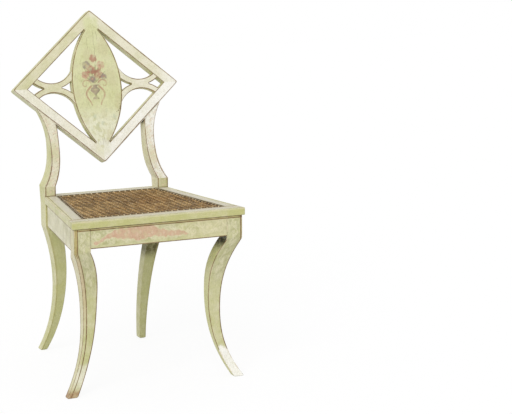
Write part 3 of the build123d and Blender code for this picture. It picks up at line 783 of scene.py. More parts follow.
def stile_rows():
    """Rows of the stile. Each corner climbs in even shares to its own height on the lozenge's edge."""
    share = np.linspace(0, 1, 150)
    columns = []
    for edge, face in ((stile_inner, stile_front), (stile_outer, stile_front),
                       (stile_outer, post_back), (stile_inner, post_back)):
        z = POST_TOP + (head_height(edge, face) - POST_TOP) * share
        columns.append((edge(z), face(z), z))
    return corners(*columns)


print("stile meets the lozenge at z", round(float(STILE_HEAD), 1))

# %% Coat of the rear legs
def rear_leg_coat(spots, left):
    """The leg is greener than the rest, and the right leg's top under the seat is darkened as painted shade.
    The stile in front is cream, flaking to gesso, between two lines, and on the right whiter, as chalk and
    a painted highlight."""
    x, z = spots.at[:, 0], spots.at[:, 2]
    leg, post, stile = (spots.part == part for part in (0, 1, 2))
    coat = Coat(spots, (0.15, 0.3, 0.3, 0.3), wear=np.where(leg, 0.12, 0.4), ends=0.0)
    coat.wash(0, (190, 190, 126), 0.5, leg)
    # Painted shade: the right rear leg darkens to olive black under the seat.
    if not left:
        coat.lay((84, 78, 18), soft(z, 246, 282) * leg * (coat.face(0) + 0.9 * coat.face(3)))
    coat.wash(0, (158, 148, 88), 0.55 * fading(np.abs(spots.edge[:, 1] - 2.5), 0.8, 2.2), leg)
    coat.draw(0, (2.2, None, 2.8, None), post | stile)
    coat.recream(3, 0.65, ~leg)
    coat.recream(0, 0.85, stile)
    coat.recream(0, 0.6 if left else 0.3, post)
    # Chalk on the stile; on the right stile it is also a painted highlight.
    coat.tone[:, 3] = coat.face(0, stile) * (0.3 if left else 0.9) * soft(wander(x, z, 22.0), -1.0, 0.3)
    coat.wash(0, (226, 200, 178), 0.55 * soft(wander(x, z, 4.2), 0.28, 0.5), stile | post)
    coat.wash(0, (150, 132, 92), 0.45 * soft(wander(x + 7, z, 2.3), 0.5, 0.7), stile)
    coat.wash(0, PALE_STENCIL, 0.5 * running_scroll(z, spots.middle, 40.0, 7.0), stile)
    coat.rule(1, z - SEAT_TOP - 1.2, post | stile)
    coat.tone[:, 2] += 0.8 * fading(z, SEAT_TOP + 0.5, SEAT_TOP + 3.0) * coat.face(0, post)
    in_the_corner = (coat.face(0) * fading(spots.edge[:, 0], 1, 9) + coat.face(3)) * stile * (z > 560)
    coat.lay((70, 58, 34), 0.9 * in_the_corner * fading(spots.end, 4, 13))
    return coat


rear_legs, posts, stiles = both_hands(rear_leg_rows()), both_hands(post_rows()), both_hands(stile_rows())
for hand in ("left", "right"):
    skins = [loft(eased_ends(rear_legs[hand], SOLE_EASE, (True, False)), 2.0, (6, 4, 3, 3)),
             loft(posts[hand], 1.2, (16, 8, 2, 2)),
             loft(stiles[hand], 1.3, (22, 8, 3, 3))]
    piece(f"rear_leg_{hand}", skins, painted, lambda spots: rear_leg_coat(spots, hand == "left"))

# %% [markdown]
# ## Aprons
# Four boards join the legs under the seat. They are straight, so their lofts need few rows, but the
# front and side boards carry stencilled scrolls and so get a fine grid on their outer face.

# %% Aprons
BOARD = 22.0


def apron_rows(x_outer, y_outer, x_inner, y_inner, bottom=APRON_BOTTOM):
    """Rows of an upright board from its outer and inner faces along its run."""
    return corners((x_outer, y_outer, bottom), (x_outer, y_outer, SEAT_UNDER),
                   (x_inner, y_inner, SEAT_UNDER), (x_inner, y_inner, bottom))


print("front apron", round(2 * FRONT_INNER, 1), "mm between the leg blocks")

# %% Coats of the aprons
WORN_AT = (-172, -160, -140, -118, -60, -25, -15, 0, 40, 85)
WORN_TOP = (0.28, 0.34, 0.62, 0.80, 0.92, 0.95, 0.90, 0.62, 0.56, 0.30)
WORN_LOW = (0.20, 0.22, 0.42, 0.46, 0.24, 0.33, 0.36, 0.32, 0.28, 0.30)


def scroll_on_board(coat, along, repeat, strength):
    """Scroll along a board's outer face with a shaded ground behind it."""
    across = coat.spots.middle
    inside = strength * fading(np.abs(across), 17.0, 18.5)
    coat.wash(0, SHADED_STENCIL, inside * 0.6 * soft(wander(along, across, 12.0), -0.7, 0.5))
    coat.wash(0, PALE_STENCIL, inside * running_scroll(along, across, repeat, 16.0, 2.4))
    coat.wash(0, PALE_STENCIL, inside * 0.7 * soft(wander(along + 3, across, 5.4), 0.0, 0.6))


def front_apron_coat(spots):
    """Scroll in cream on green, with a long place where the paint is rubbed down to the pink gesso. The
    place reaches from WORN_LOW to WORN_TOP of the board's height, with a ragged rim."""
    x, up = spots.at[:, 0], spots.edge[:, 0]
    height = up / (SEAT_UNDER - APRON_BOTTOM)
    coat = Coat(spots, wear=0.4, ends=0.12)
    scroll_on_board(coat, x, 72.0, 0.8)
    ragged = 0.06 * wander(x, up, 9.0) + 0.028 * wander(0.61 * x + 5, 1.3 * up, 3.1)
    top, low = np.interp(x, WORN_AT, WORN_TOP), np.interp(x, WORN_AT, WORN_LOW)
    reach = np.minimum(top - height, height - low) + ragged
    rim = soft(reach + 0.06 * wander(x, up, 17.0), -0.10, -0.04)
    worn = soft(reach, -0.02, 0.02) * (x > -174) * (x < 88)
    coat.wash(0, (218, 210, 170), rim * 0.6, (x > -178) & (x < 94))
    coat.wash(0, (209, 174, 144), worn * 0.92)
    coat.wash(0, (200, 158, 130), worn * 0.5 * soft(wander(x, up, 11.0), 0.0, 0.6))
    coat.wash(0, (222, 200, 172), worn * 0.5 * soft(wander(x + 4, up, 5.0), 0.3, 0.6))
    coat.wash(0, (222, 212, 166), 0.3 * soft(x, 30, 90) * (1 - worn))
    coat.wash(0, STRIP, 0.8, spots.edge[:, 1] < 5.5)
    coat.draw(0, (1.4, None, 5.5, 1.2))
    coat.wash(2, BARE_WOOD, 0.95)
    return coat


def side_apron_coat(spots):
    """Cream, with the scroll nearly rubbed away and grey dirt that gathers towards the front."""
    y = spots.at[:, 1]
    coat = Coat(spots, (0.62, 0.3, 0.3, 0.3), wear=0.5, ends=0.12)
    scroll_on_board(coat, y, 84.0, 0.5)
    coat.draw(0, (1.4, None, 4.5, None))
    dirt = soft(wander(y, spots.edge[:, 0], 19.0), -0.5, 0.5) * (0.4 + 0.6 * fading(y, 60, 190))
    coat.wash(0, (178, 172, 136), 0.66 * dirt)
    coat.tone[:, 3] = coat.face(0) * 0.25
    coat.wash(2, BARE_WOOD, 0.95)
    return coat


def back_apron_coat(spots):
    """Plain paint outside, bare wood inside."""
    coat = Coat(spots, (0.25, 0.3, 0.3, 0.3), wear=0.4)
    coat.wash(2, BARE_WOOD, 0.95)
    return coat


run = np.linspace(-FRONT_INNER, FRONT_INNER, 330)
front_skin = loft(apron_rows(run, OVERHANG, run, OVERHANG + BOARD), 1.3, (48, 1, 1, 1))
piece("front_apron", [front_skin], painted, front_apron_coat)
run = np.linspace(-131.5, 131.5, 30)
back_face = 416.0 - OVERHANG
back_skin = loft(apron_rows(run, back_face, run, back_face - BOARD), 1.3, (4, 1, 1, 1))
piece("back_apron", [back_skin], painted, back_apron_coat)
depth = np.linspace(FRONT_HIND, POST_FRONT, 200)
side_rows = both_hands(apron_rows(apron_side(depth), depth, apron_side(depth, BOARD), depth, KNEE))
for hand in ("left", "right"):
    piece(f"side_apron_{hand}", [loft(side_rows[hand], 1.3, (40, 1, 1, 1))], painted, side_apron_coat)

# %% [markdown]
# ## Seat frame
# Four flat rails lie on the aprons and reach 5 mm past them. Their inner edges step down to a ledge
# that carries the cane, so each rail is a thick strip with a lower strip beside it.

# %% Seat frame
def seat_rows(x_out, y_out, x_in, y_in, top=SEAT_TOP):
    """Rows of a flat rail from its outer and inner edges along its run."""
    return corners((x_out, y_out, SEAT_UNDER), (x_out, y_out, top),
                   (x_in, y_in, top), (x_in, y_in, SEAT_UNDER))


EASE = (1.7, 1.9, 1.1, 0.5)
CELLS = (6, 10, 1, 1)
LEDGE_TOP, LEDGE = SEAT_TOP - 2.5, 12.0
LEDGE_FRONT, LEDGE_BACK = CANE_FRONT + LEDGE, CANE_BACK - LEDGE


def seat_coat(spots, edge_cream):
    """Green edge, cream top that greys towards the cane, grime and painted shade along the inner edge and
    the step down to the ledge, and a grimy ledge, which is the second skin.
    """
    near, far = spots.edge.T
    rail, sunk = spots.part != 1, spots.part == 1
    in_front = spots.at[:, 1] < CANE_FRONT + 1
    coat = Coat(spots, (edge_cream, 0.45, 0.3, 0.3), wear=0.35, ends=0.05)
    coat.wash(1, (212, 205, 190), 0.8 * soft(near, 7.0, 14.0), rail)
    coat.wash(1, (186, 168, 128), 0.66 * fading(far, 4.0, 22.0), in_front & rail)
    coat.wash(0, (194, 190, 112), 0.35, in_front)
    coat.wash(0, PALE_STENCIL, 0.6 * fading(far, 1.5, 4.5), rail)
    coat.draw(1, (None, 7.0, None, 1.6), rail)
    # Grime and painted shade: the top darkens near the inner edge, and the step down to the ledge is dark.
    coat.tone[:, 2] += 0.6 * coat.face(1, rail) * fading(far, 1.0, 6.0) + coat.face(2, rail)
    coat.lay(BARE_WOOD, sunk * 0.95)
    coat.wash(3, BARE_WOOD, 0.95)
    return coat


def cane_ledge(share, outer, inner):
    """Ledge across the seat between two depths, as wide as the cane is there."""
    return seat_rows(share * cane_side(outer), outer, share * cane_side(inner), inner, LEDGE_TOP)


share = np.linspace(-1, 1, 90)
front_main = seat_rows(share * seat_side(0), 0.0, share * seat_side(CANE_FRONT), CANE_FRONT)
skins = [loft(eased_ends(front_main, 1.6), EASE, CELLS),
         loft(cane_ledge(share, CANE_FRONT, LEDGE_FRONT), 0.4)]
ear = np.linspace(CANE_FRONT, LEDGE_FRONT, 5)
for rows in both_hands(seat_rows(seat_side(ear), ear, cane_side(ear), ear)).values():
    skins.append(loft(rows, EASE, CELLS))
piece("seat_rail_front", skins, painted, lambda spots: seat_coat(spots, 0.1))

run = share * POST_INNER
skins = [loft(seat_rows(run, SEAT_BACK, run, CANE_BACK), EASE, CELLS),
         loft(cane_ledge(share, CANE_BACK, LEDGE_BACK), 0.4)]
piece("seat_rail_back", skins, painted, lambda spots: seat_coat(spots, 0.3))

depth = np.linspace(LEDGE_FRONT, CANE_BACK, 80)
ledge = np.linspace(LEDGE_FRONT, LEDGE_BACK, 80)
rail_rows = both_hands(seat_rows(seat_side(depth), depth, cane_side(depth), depth))
ledge_rows = both_hands(seat_rows(cane_side(ledge), ledge, cane_side(ledge) - LEDGE, ledge, LEDGE_TOP))
for hand in ("left", "right"):
    skins = [loft(rail_rows[hand], EASE, CELLS), loft(ledge_rows[hand], 0.4)]
    piece(f"seat_rail_side_{hand}", skins, painted, lambda spots: seat_coat(spots, 0.4))

# %% [markdown]
# ## Woven cane
# The seat is woven from split cane, the shiny skin of a climbing palm. Pairs of strands run from front
# to back and from side to side, one pair per drilled hole, and single strands run both ways across at
# 45 degrees, half a pitch off, so that each opening becomes an octagon. A picture of a weave would stay
# flat, so every strand is a thin lens-shaped ribbon whose height rises and falls as it crosses others.

# %% Cane strands
PITCH, SPREAD = 15.9, 1.9
CANE_Z = 448.5
HOLES = 6.0


def reach_of(start, way):
    """Least and greatest distance along a straight line from start within the row of holes: the line is
    cut by the four sides of the seat opening, each moved inwards by the holes' distance."""
    slope = (cane_side(CANE_BACK) - cane_side(CANE_FRONT)) / (CANE_BACK - CANE_FRONT)
    side_at_zero = cane_side(0.0) - HOLES * math.hypot(1, slope)
    cuts = ((0, -1, -(CANE_FRONT + HOLES)), (0, 1, CANE_BACK - HOLES),
            (1, -slope, side_at_zero), (-1, -slope, side_at_zero))
    low, high = -2000.0, 2000.0
    for across, deep, limit in cuts:
        rate, room = across * way[0] + deep * way[1], limit - across * start[0] - deep * start[1]
        if abs(rate) < 1e-9:
            low, high = (low, high) if room > 0 else (1.0, -1.0)
        elif rate > 0:
            high = min(high, room / rate)
        else:
            low = max(low, room / rate)
    return low, high


def ribbon(path, width, thickness):
    """Lens-shaped ribbon: points at plus and minus half the width across the path, and half the
    thickness over and under it, at every point of the path."""
    heading = np.gradient(path[:, :2], axis=0)
    across = unit(np.stack([-heading[:, 1], heading[:, 0]], -1)) * width / 2
    rings = np.repeat(path[:, None, :], 4, axis=1)
    rings[:, 0, :2] += across
    rings[:, 2, :2] -= across
    rings[:, 1, 2] -= thickness / 2
    rings[:, 3, 2] += thickness / 2
    index = np.arange(len(path) * 4).reshape(-1, 4)
    beside = np.roll(index, -1, axis=1)
    quads = np.stack([index[:-1], index[1:], beside[1:], beside[:-1]], -1).reshape(-1, 4)
    return rings.reshape(-1, 3), quads, index[0], index[-1][::-1]


def straight_strand(fixed, number, lengthwise):
    """Strand of a pair. Its height is a cosine of the count of strands crossed, half a turn for each, so
    it goes over one and under the next."""
    start, way = ((fixed, 0.0), (0.0, 1.0)) if lengthwise else ((0.0, fixed), (1.0, 0.0))
    low, high = reach_of(start, way)
    if high - low < 10:
        return None
    pairs = np.arange(math.floor(low / PITCH), math.ceil(high / PITCH) + 1)
    stops = (pairs[:, None] * PITCH + [-SPREAD, SPREAD, PITCH / 2]).ravel()
    count = (pairs[:, None] * 2 + [0.0, 1.0, 1.5]).ravel()
    inside = (stops > low + 1) & (stops < high - 1)
    run = np.concatenate([[low], stops[inside], [high]])
    height = np.interp(run, stops, 0.32 * np.cos(np.pi * (count + number)))
    height = height if lengthwise else -height
    path = np.array(start) + run[:, None] * np.array(way)
    return np.column_stack([path, CANE_Z + height])


def slanting_strand(offset, rising):
    """Diagonal strand x - y = offset or x + y = offset. Its height is a cosine of x, one turn a pitch:
    rising ones go over the lengthwise pairs and under the crosswise ones, falling ones the other way."""
    way = np.array([1.0, 1.0 if rising else -1.0])
    start = (offset, 0.0)
    low, high = reach_of(start, way)
    if high - low < 10:
        return None
    first, last = math.ceil((offset + low + 1) / PITCH * 4), math.floor((offset + high - 1) / PITCH * 4)
    x = np.concatenate([[offset + low], np.arange(first, last + 1) * PITCH / 4, [offset + high]])
    height = (0.55 if rising else -0.55) * np.cos(2 * np.pi * x / PITCH)
    return np.column_stack([x, (x - offset) * way[1], CANE_Z + height])


def pairs_of_strands(lengthwise):
    """Both strands of every pair in one direction, numbered so that neighbours weave oppositely."""
    reach = range(-18, 19) if lengthwise else range(2, 31)
    pairs = [(i, side) for i in reach for side in (-1, 1)]
    made = [straight_strand(i * PITCH + side * SPREAD, 2 * i + (side > 0), lengthwise) for i, side in pairs]
    return [path for path in made if path is not None]


def diagonals():
    """Every diagonal strand of both directions, half a pitch off the pairs."""
    made = [slanting_strand((i + 0.5) * PITCH, rising) for rising in (True, False) for i in range(-60, 60)]
    return [path for path in made if path is not None]


lengthwise, crosswise, diagonal = pairs_of_strands(True), pairs_of_strands(False), diagonals()
print("strands:", len(lengthwise), "lengthwise,", len(crosswise), "crosswise,", len(diagonal), "diagonal")

# %% [markdown]
# ## Cane colour, binder and loops
# Old cane is honey brown with a slight shine, each strand a little different, and the strands darken
# low between each other, as dust and painted shade. A wider strand, the binder, covers the row of holes;
# it is darker, as grime and painted shade along the seat's edge. A loop of pale cane comes up through
# each hole to hold it down. Strand number and place along the strand go into a UV map, so the colour can
# change from strand to strand without a material for each.

# %% Cane material and weaving
STAIN, DUST_AND_SHADE = (84, 58, 30), (84, 56, 26)
BINDER_Z, LOOP_Z, LOOP_RISE, LOOP_HALF = 449.5, 448.6, 1.6, 4.2


def cane_finish(name, dark, light, stained):
    """Two browns by a noise that is long along the strand, stained in spots, and darker low in the weave as
    dust and painted shade.
    """
    mix = Recipe(name, 0.55, 0.25)
    strand = mix.pair("strand")[1]
    fibre = mix.noise(1.0, 4.0, (30, 900, 1), mix.laid("strand"))
    wires = {"W": mix.calc("FLOOR", mix.times(strand, 100.0))}
    each = wired(mix.tree, "ShaderNodeTexWhiteNoise", wires, noise_dimensions="1D").outputs[0]
    share = mix.plus(mix.times(each, 0.5), mix.between(fibre, 0.3, 0.7, -0.1, 0.3))
    share = mix.plus(share, mix.between(mix.noise(9.0, 3.0), 0.3, 0.7, -0.1, 0.3), clamp=True)
    colour = mix.mix(share, dark, light)
    stain = mix.between(mix.noise(48.0, 3.0, (1.6, 0.7, 1.0)), 0.42, 0.62, 0.0, stained)
    colour = mix.mix(stain, colour, STAIN)
    height = wired(mix.tree, "ShaderNodeSeparateXYZ", {0: mix.place}).outputs[2]
    # Dust and painted shade: strands low in the weave are darker.
    colour = mix.mix(mix.between(height, 0.4478, 0.4488, 0.6, 0.0), colour, DUST_AND_SHADE)
    mix.bump(fibre, 0.0002)
    return mix.finish(colour)


def woven(name, paths, width, thickness, material, node=None):
    """One mesh of many ribbons, with the strand UV: place along in metres, number over a hundred."""
    points, faces, strand, base = [], [], [], 0
    for number, path in enumerate(paths):
        ring_points, quads, first_cap, last_cap = ribbon(path, width, thickness)
        run = np.repeat(distance_along(path), 4)
        order = np.concatenate([quads.ravel(), first_cap, last_cap])
        across = number / 100 + 0.005 + (order % 4) * 0.0008
        strand.append(np.column_stack([run[order] / 1000, across]))
        faces += (quads + base).tolist() + [(first_cap + base).tolist(), (last_cap + base).tolist()]
        points.append(ring_points)
        base += len(ring_points)
    mesh = bpy.data.meshes.new(name)
    mesh.from_pydata(place(np.concatenate(points)).tolist(), [], faces)
    mesh.shade_smooth()
    strand = np.concatenate(strand).astype(np.float32)
    mesh.uv_layers.new(name="strand").uv.foreach_set("vector", strand.ravel())
    on_chair(mesh, material, node)


def binder_sides():
    """The four straight runs of the binder, over the row of holes."""
    low, high = CANE_FRONT + HOLES, CANE_BACK - HOLES
    near, far = cane_side(low) - HOLES, cane_side(high) - HOLES
    bends = np.array([(-near, low), (near, low), (far, high), (-far, high)])
    share = np.linspace(0, 1, 40)[:, None]
    return [np.column_stack([bend * (1 - share) + after * share, np.full(40, BINDER_Z)])
            for bend, after in zip(bends, np.roll(bends, -1, axis=0))]


def binder_loops():
    """A short arch over the binder at every hole. Its height is the root of a cosine across the binder."""
    share = np.linspace(-1, 1, 6)
    made = []
    for run in binder_sides():
        start, end = run[0, :2], run[-1, :2]
        way = (end - start) / np.linalg.norm(end - start)
        across = np.array([-way[1], way[0]])
        for step in np.arange(PITCH / 2, np.linalg.norm(end - start), PITCH):
            flat = start + way * step + across * LOOP_HALF * share[:, None]
            made.append(np.column_stack([flat, LOOP_Z + LOOP_RISE * np.cos(share * np.pi / 2) ** 0.5]))
    return made


old_cane = cane_finish("old_cane", (154, 112, 58), (234, 200, 140), 0.55)
# The binder's darker cane is grime and painted shade along the recess at the seat's edge.
dark_cane = cane_finish("binder_cane_grime_and_shade", (78, 54, 34), (124, 92, 58), 0.4)
pale_cane = cane_finish("pale_loop_cane", (190, 164, 114), (240, 224, 188), 0.0)
woven("cane_lengthwise", lengthwise, 2.5, 0.6, old_cane, "cane_seat")
woven("cane_crosswise", crosswise, 2.5, 0.6, old_cane)
woven("cane_diagonals", diagonal, 2.6, 0.55, old_cane)
woven("cane_binder", binder_sides(), 4.6, 0.6, dark_cane)
woven("cane_binder_loops", binder_loops(), 3.6, 0.7, pale_cane)

# %% [markdown]
# ## The lozenge back
# Four mitred rails make a lozenge that leans back by 14 degrees. All its parts are flat boards with a
# common front face, so they are drawn in that plane, with x across and y up the slope, and set back
# into the wood by a depth. The panel's outline comes first, because the rails hold its tips.

# %% The plane of the back
def on_back(x, y, depth):
    """Point of the back's plane: y runs up the slope and depth runs into the wood."""
    return (x, LOZENGE_Y + y * math.sin(RAKE) + depth * math.cos(RAKE),
            LOZENGE_Z + y * math.cos(RAKE) - depth * math.sin(RAKE))


RAIL_LENGTH = math.hypot(HALF_WIDTH, HALF_HEIGHT)
INNER_WIDTH = HALF_WIDTH - RAIL_WIDTH * RAIL_LENGTH / HALF_HEIGHT
INNER_HEIGHT = HALF_HEIGHT - RAIL_WIDTH * RAIL_LENGTH / HALF_WIDTH
LOZENGE_DEPTH, PANEL_DEPTH, RIB_DEPTH = 26.0, 18.0, 16.0
PANEL_HALF, OVAL_HALF = 70.0, INNER_HEIGHT + 4.4
PANEL_RADIUS = (OVAL_HALF ** 2 + PANEL_HALF ** 2) / (2 * PANEL_HALF)


def board_rows(x_first, y_first, x_second, y_second, depth):
    """Rows of a flat board of the back between two edges, its front face in the common plane."""
    return corners(on_back(x_first, y_first, 0), on_back(x_second, y_second, 0),
                   on_back(x_second, y_second, depth), on_back(x_first, y_first, depth))


def opening_half_width(y):
    """Half width of the opening between the rails: a straight line from side corner to tip."""
    return INNER_WIDTH * (1 - np.abs(y) / INNER_HEIGHT)


def panel_half_width(y):
    """Half width of the oval: the height of an arc of the panel's radius over its chord."""
    return np.sqrt(PANEL_RADIUS ** 2 - y ** 2) - (PANEL_RADIUS - PANEL_HALF)


def clear_of_rails(y):
    """1 where the oval's arc is narrower than the rails' opening, 0 in the tips that the rails hold."""
    return soft(opening_half_width(y) - panel_half_width(y), 0.0, 2.0)


heights = np.linspace(100.0, INNER_HEIGHT, 2000)
TIP_WIDTH = float(panel_half_width(heights[np.argmin(clear_of_rails(heights) > 0.5)]))
print("the rails hold the panel's tips where they are", round(2 * TIP_WIDTH, 1), "mm wide")

# %% Lozenge rails
# Cream and chalk of each rail; the whiter right-hand rails carry a painted highlight as well as chalk.
RAIL_TONES_WITH_HIGHLIGHT = {
    "upper_left": (0.6, 0.05), "upper_right": (0.85, 0.25),
    "lower_left": (0.9, 0.6), "lower_right": (1.0, 1.0)}
PANEL_GREEN = (216, 218, 168)


def rail_board(upward):
    """Right-hand rail: both its edges run straight from the middle line to the side corner. The outer
    one rounds off the corners as a hyperbola does, 1 - sqrt(share^2 + rounding^2)."""
    share, rounding = np.linspace(0, 1, 160), 0.011
    to_side, to_tip = 1 - np.hypot(1 - share, rounding), 1 - np.hypot(share, rounding)
    return board_rows(HALF_WIDTH * to_side, upward * HALF_HEIGHT * to_tip,
                      INNER_WIDTH * share, upward * INNER_HEIGHT * (1 - share), LOZENGE_DEPTH)


def rail_coat(spots, name):
    """Cream glaze, nearly gone to chalk on the lower right and whitened at the right corner, both chalk and
    a painted highlight, with a line inside the outer edge.
    """
    cream, chalk = RAIL_TONES_WITH_HIGHLIGHT[name]
    x, z = spots.at[:, 0], spots.at[:, 2]
    off_middle, up = np.abs(x), (z - LOZENGE_Z) / math.cos(RAKE)
    coat = Coat(spots, (cream, 0.3, 0.3, 0.15), wear=0.3 * (off_middle > TIP_WIDTH + 2), ends=0.0)
    patchy = 0.75 + 0.25 * soft(wander(x, z, 30.0), -0.9, 0.4)
    # Chalk, and on the right of the back a painted highlight, strongest at the right corner.
    coat.tone[:, 3] = (coat.face(0) + 0.5 * coat.face(3)) * chalk * patchy
    coat.tone[:, 3] += coat.face(0) * 0.5 * soft(x, 165, 215)
    coat.draw(0, (2.6, None, None, None))
    coat.draw(0, (None, None, 1.2, None), off_middle > TIP_WIDTH)
    over_the_joint = fading(off_middle, TIP_WIDTH - 5, TIP_WIDTH + 7) * fading(np.abs(up), 176, 197)
    coat.wash(0, PANEL_GREEN, over_the_joint * (0.85 if name.startswith("upper") else 0.35))
    return coat


for level_name, upward in (("upper", 1), ("lower", -1)):
    for hand, rows in both_hands(rail_board(upward)).items():
        radius = np.full((len(rows), 4), 1.5)
        inner_x = INNER_WIDTH * np.linspace(0, 1, len(rows))
        radius[:, 1] = 0.15 + 1.35 * soft(inner_x, TIP_WIDTH, TIP_WIDTH + 4)
        piece(f"lozenge_rail_{level_name}_{hand}", [loft(rows, radius, (16, 3, 3, 3))], painted,
              lambda spots: rail_coat(spots, f"{level_name}_{hand}"))

# %% [markdown]
# ## The painted posy
# The middle of the panel carries a small painted posy: an urn with roses and trailing ribbon, in worn
# rose, mauve and olive. Each flower is five petals round a heart, each petal one dab, and the
# petals' angles are worked out as an array.

# %% Posy
ROSE, BLUSH, MAUVE = (170, 108, 92), (194, 146, 124), (136, 116, 112)
STEM, URN, URN_SHADE = (132, 130, 84), (160, 138, 120), (112, 94, 84)
STEM_TURNS = np.radians([44, 62, 82, 100, 121, 140])
URN_TOP, URN_STEP = -9, 1.6
URN_HALVES = (8.5, 6.0, 4.6, 5.2, 7.4, 9.2, 10.2, 10.6, 10.2, 9.2,
              7.6, 5.6, 3.8, 2.6, 2.2, 2.4, 3.4, 5.2, 6.6, 7.2)
FLOWERS = (
    ((-15, 34), 9, MAUVE, ROSE), ((2, 48), 8.5, ROSE, BLUSH), ((17, 33), 9, BLUSH, ROSE),
    ((-6, 24), 10, ROSE, MAUVE), ((10, 14), 10.5, ROSE, BLUSH), ((-19, 13), 8.5, BLUSH, ROSE),
    ((-4, 4), 8, MAUVE, BLUSH), ((22, 8), 7, MAUVE, ROSE))


def flower(coat, at, centre, size, petal, heart):
    """Five petals at even angles round a heart."""
    angle = np.linspace(0, 2 * np.pi, 6)[:5] + centre[0]
    tips = np.array(centre) + 0.55 * size * np.stack([np.cos(angle), np.sin(angle)], -1)
    coat.wash(0, petal, 0.75 * dabs(at, tips, 0.48 * size, 2.0))
    coat.wash(0, heart, 0.7 * dabs(at, [centre], 0.3 * size, 1.6))


def tail(root, way, length, width, steps=26):
    """Ribbon's tail: it hangs down from its root, sways as a sine and narrows to half its width."""
    share = np.linspace(0, 1, steps)
    sway = 8 * np.sin(4.4 * share) + 9 * share
    return np.stack([root[0] + way * sway, root[1] - length * share], -1), width * (1 - 0.5 * share)


def posy(coat, at):
    """Stems and leaves, ribbons, an urn turned from its row of half widths, and flowers on top."""
    for turn in STEM_TURNS:
        coat.wash(0, STEM, 0.75 * dabs(at, *leaf((0, -6), turn, 26 + 24 * math.sin(turn) ** 2, 1.3, 22)))
        coat.wash(0, STEM, 0.7 * dabs(at, *leaf((10 * math.cos(turn), 14), turn + 0.5, 15, 2.6)))
    for way in (-1, 1):
        bow_end = curl((way * 20, -8), 1.57 + way * 1.2, -way * 0.8, 12, 1.7)
        for stroke in (bow_end, tail((way * 9, -12), way, 40, 2.3)):
            coat.wash(0, ROSE, 0.65 * dabs(at, *stroke))
    for number, half in enumerate(URN_HALVES):
        height = URN_TOP - URN_STEP * number
        beside = 0.8 * (np.abs(at[:, 0]) < half) * (np.abs(at[:, 1] - height) < 0.9)
        coat.wash(0, URN, beside * fading(at[:, 0], half - 6, half))
        coat.wash(0, URN_SHADE, beside * soft(at[:, 0], half - 7, half))
    for centre, size, petal, heart in FLOWERS:
        flower(coat, at, centre, size, petal, heart)


print("posy of", len(FLOWERS), "flowers and", len(STEM_TURNS), "stems")

# %% [markdown]
# ## The pointed oval panel
# Two arcs of one radius meet at the panel's tips, which the rails' inner corner cuts off. A loft up
# the panel, with its half width taken from the arcs, gives the shape and a fine grid for the painting.

# %% Panel
SEAL, SPOTS = (96, 82, 52), (120, 152, 132)
SEAL_DABS = [(57, -52), (59, -58), (58, -64), (53, -69), (48, -72)], [1.2, 1.8, 2.6, 1.8, 1.2]
CRACKS = ((0, -168, -138), (-7, -160, -146), (5, -156, -135), (-16, 96, 132), (3, 60, 150), (12, 120, 150))
POSY_MIDDLE, POSY_SCALE = (-6, 14), 1.25


def panel_coat(spots):
    """Pale green ground, a line inside the edge, the posy, and dark cracks near both tips."""
    x, up = spots.at[:, 0], (spots.at[:, 2] - LOZENGE_Z) / math.cos(RAKE)
    at = np.stack([x, up], -1)
    clear = clear_of_rails(up) > 0.5
    coat = Coat(spots, (0.35, 0.2, 0.3, 0.2), wear=0.3 * clear, ends=0.0)
    coat.wash(0, PANEL_GREEN, 0.7)
    coat.wash(0, (234, 233, 208), 0.8 * fading(up, -105, -45))
    coat.wash(0, (200, 192, 150), 0.45 * soft(wander(x, up, 26.0), 0.1, 0.6))
    low_down = fading(up, -90, -50) * soft(up, -135, -100)
    coat.wash(0, SPOTS, 0.25 * soft(wander(x + 30, up, 9.0), 0.3, 0.7) * low_down)
    posy(coat, (at - POSY_MIDDLE) / POSY_SCALE)
    coat.wash(0, SEAL, 0.8 * dabs(at, *SEAL_DABS))
    for middle, low, high in CRACKS:
        crack = np.abs(x - middle - 0.8 * np.sin(up / 5)) < 0.8
        depth = (0.35 if low > 0 else 0.6) * soft(up, low, low + 6) * fading(up, high - 6, high)
        coat.wash(0, SEAL, depth * crack)
    coat.draw(0, (2.4, None, 2.4, None), clear)
    coat.wash(0, (238, 237, 222), 0.7 * fading(up, 8 - INNER_HEIGHT, 34 - INNER_HEIGHT))
    return coat


y = np.linspace(-INNER_HEIGHT + 0.15, INNER_HEIGHT - 0.15, 300)
half = np.minimum(panel_half_width(y), opening_half_width(y))
radius = (0.15 + 1.05 * clear_of_rails(y))[:, None]
panel_skin = loft(board_rows(-half, y, half, y, PANEL_DEPTH), radius, (120, 2, 3, 2))
piece("vesica_panel", [panel_skin], panel_paint, panel_coat)
print("panel", 2 * PANEL_HALF, "mm wide, cut from arcs of radius", round(PANEL_RADIUS))

# %% [markdown]
# ## The pierced frets
# Between the panel and each side corner two ribs curve towards each other, touch in a short neck and
# part again. Each rib is a band between two circles of one centre. The neck and the four arms are
# lofts of their own: an arm runs by angle from the neck to the panel's arc or to the rail.

# %% Frets
RIB_IN, RIB_OUT, RIB_UP = 66.0, 82.5, 79.0
RIB_CENTRE = panel_half_width(RIB_UP) + RIB_IN - 0.2
NECK = math.sqrt(RIB_OUT ** 2 - RIB_UP ** 2)


def neck_rows():
    """Neck between the two window circles, as far as the point where the ribs part."""
    out = np.linspace(-NECK, NECK, 40)
    half = RIB_UP - np.sqrt(RIB_IN ** 2 - out ** 2)
    return board_rows(RIB_CENTRE + out, half, RIB_CENTRE + out, -half, RIB_DEPTH)


def arm_angle(radius, towards):
    """First angle from straight down at which a circle meets the panel's arc or the rail's edge."""
    angle = np.linspace(math.asin(NECK / radius), math.pi / 2, 4000)
    x = RIB_CENTRE + towards * radius * np.sin(angle)
    y = RIB_UP - radius * np.cos(angle)
    met = x < panel_half_width(y) if towards < 0 else x > opening_half_width(y)
    return angle[np.argmax(met)] if met.any() else angle[-1]


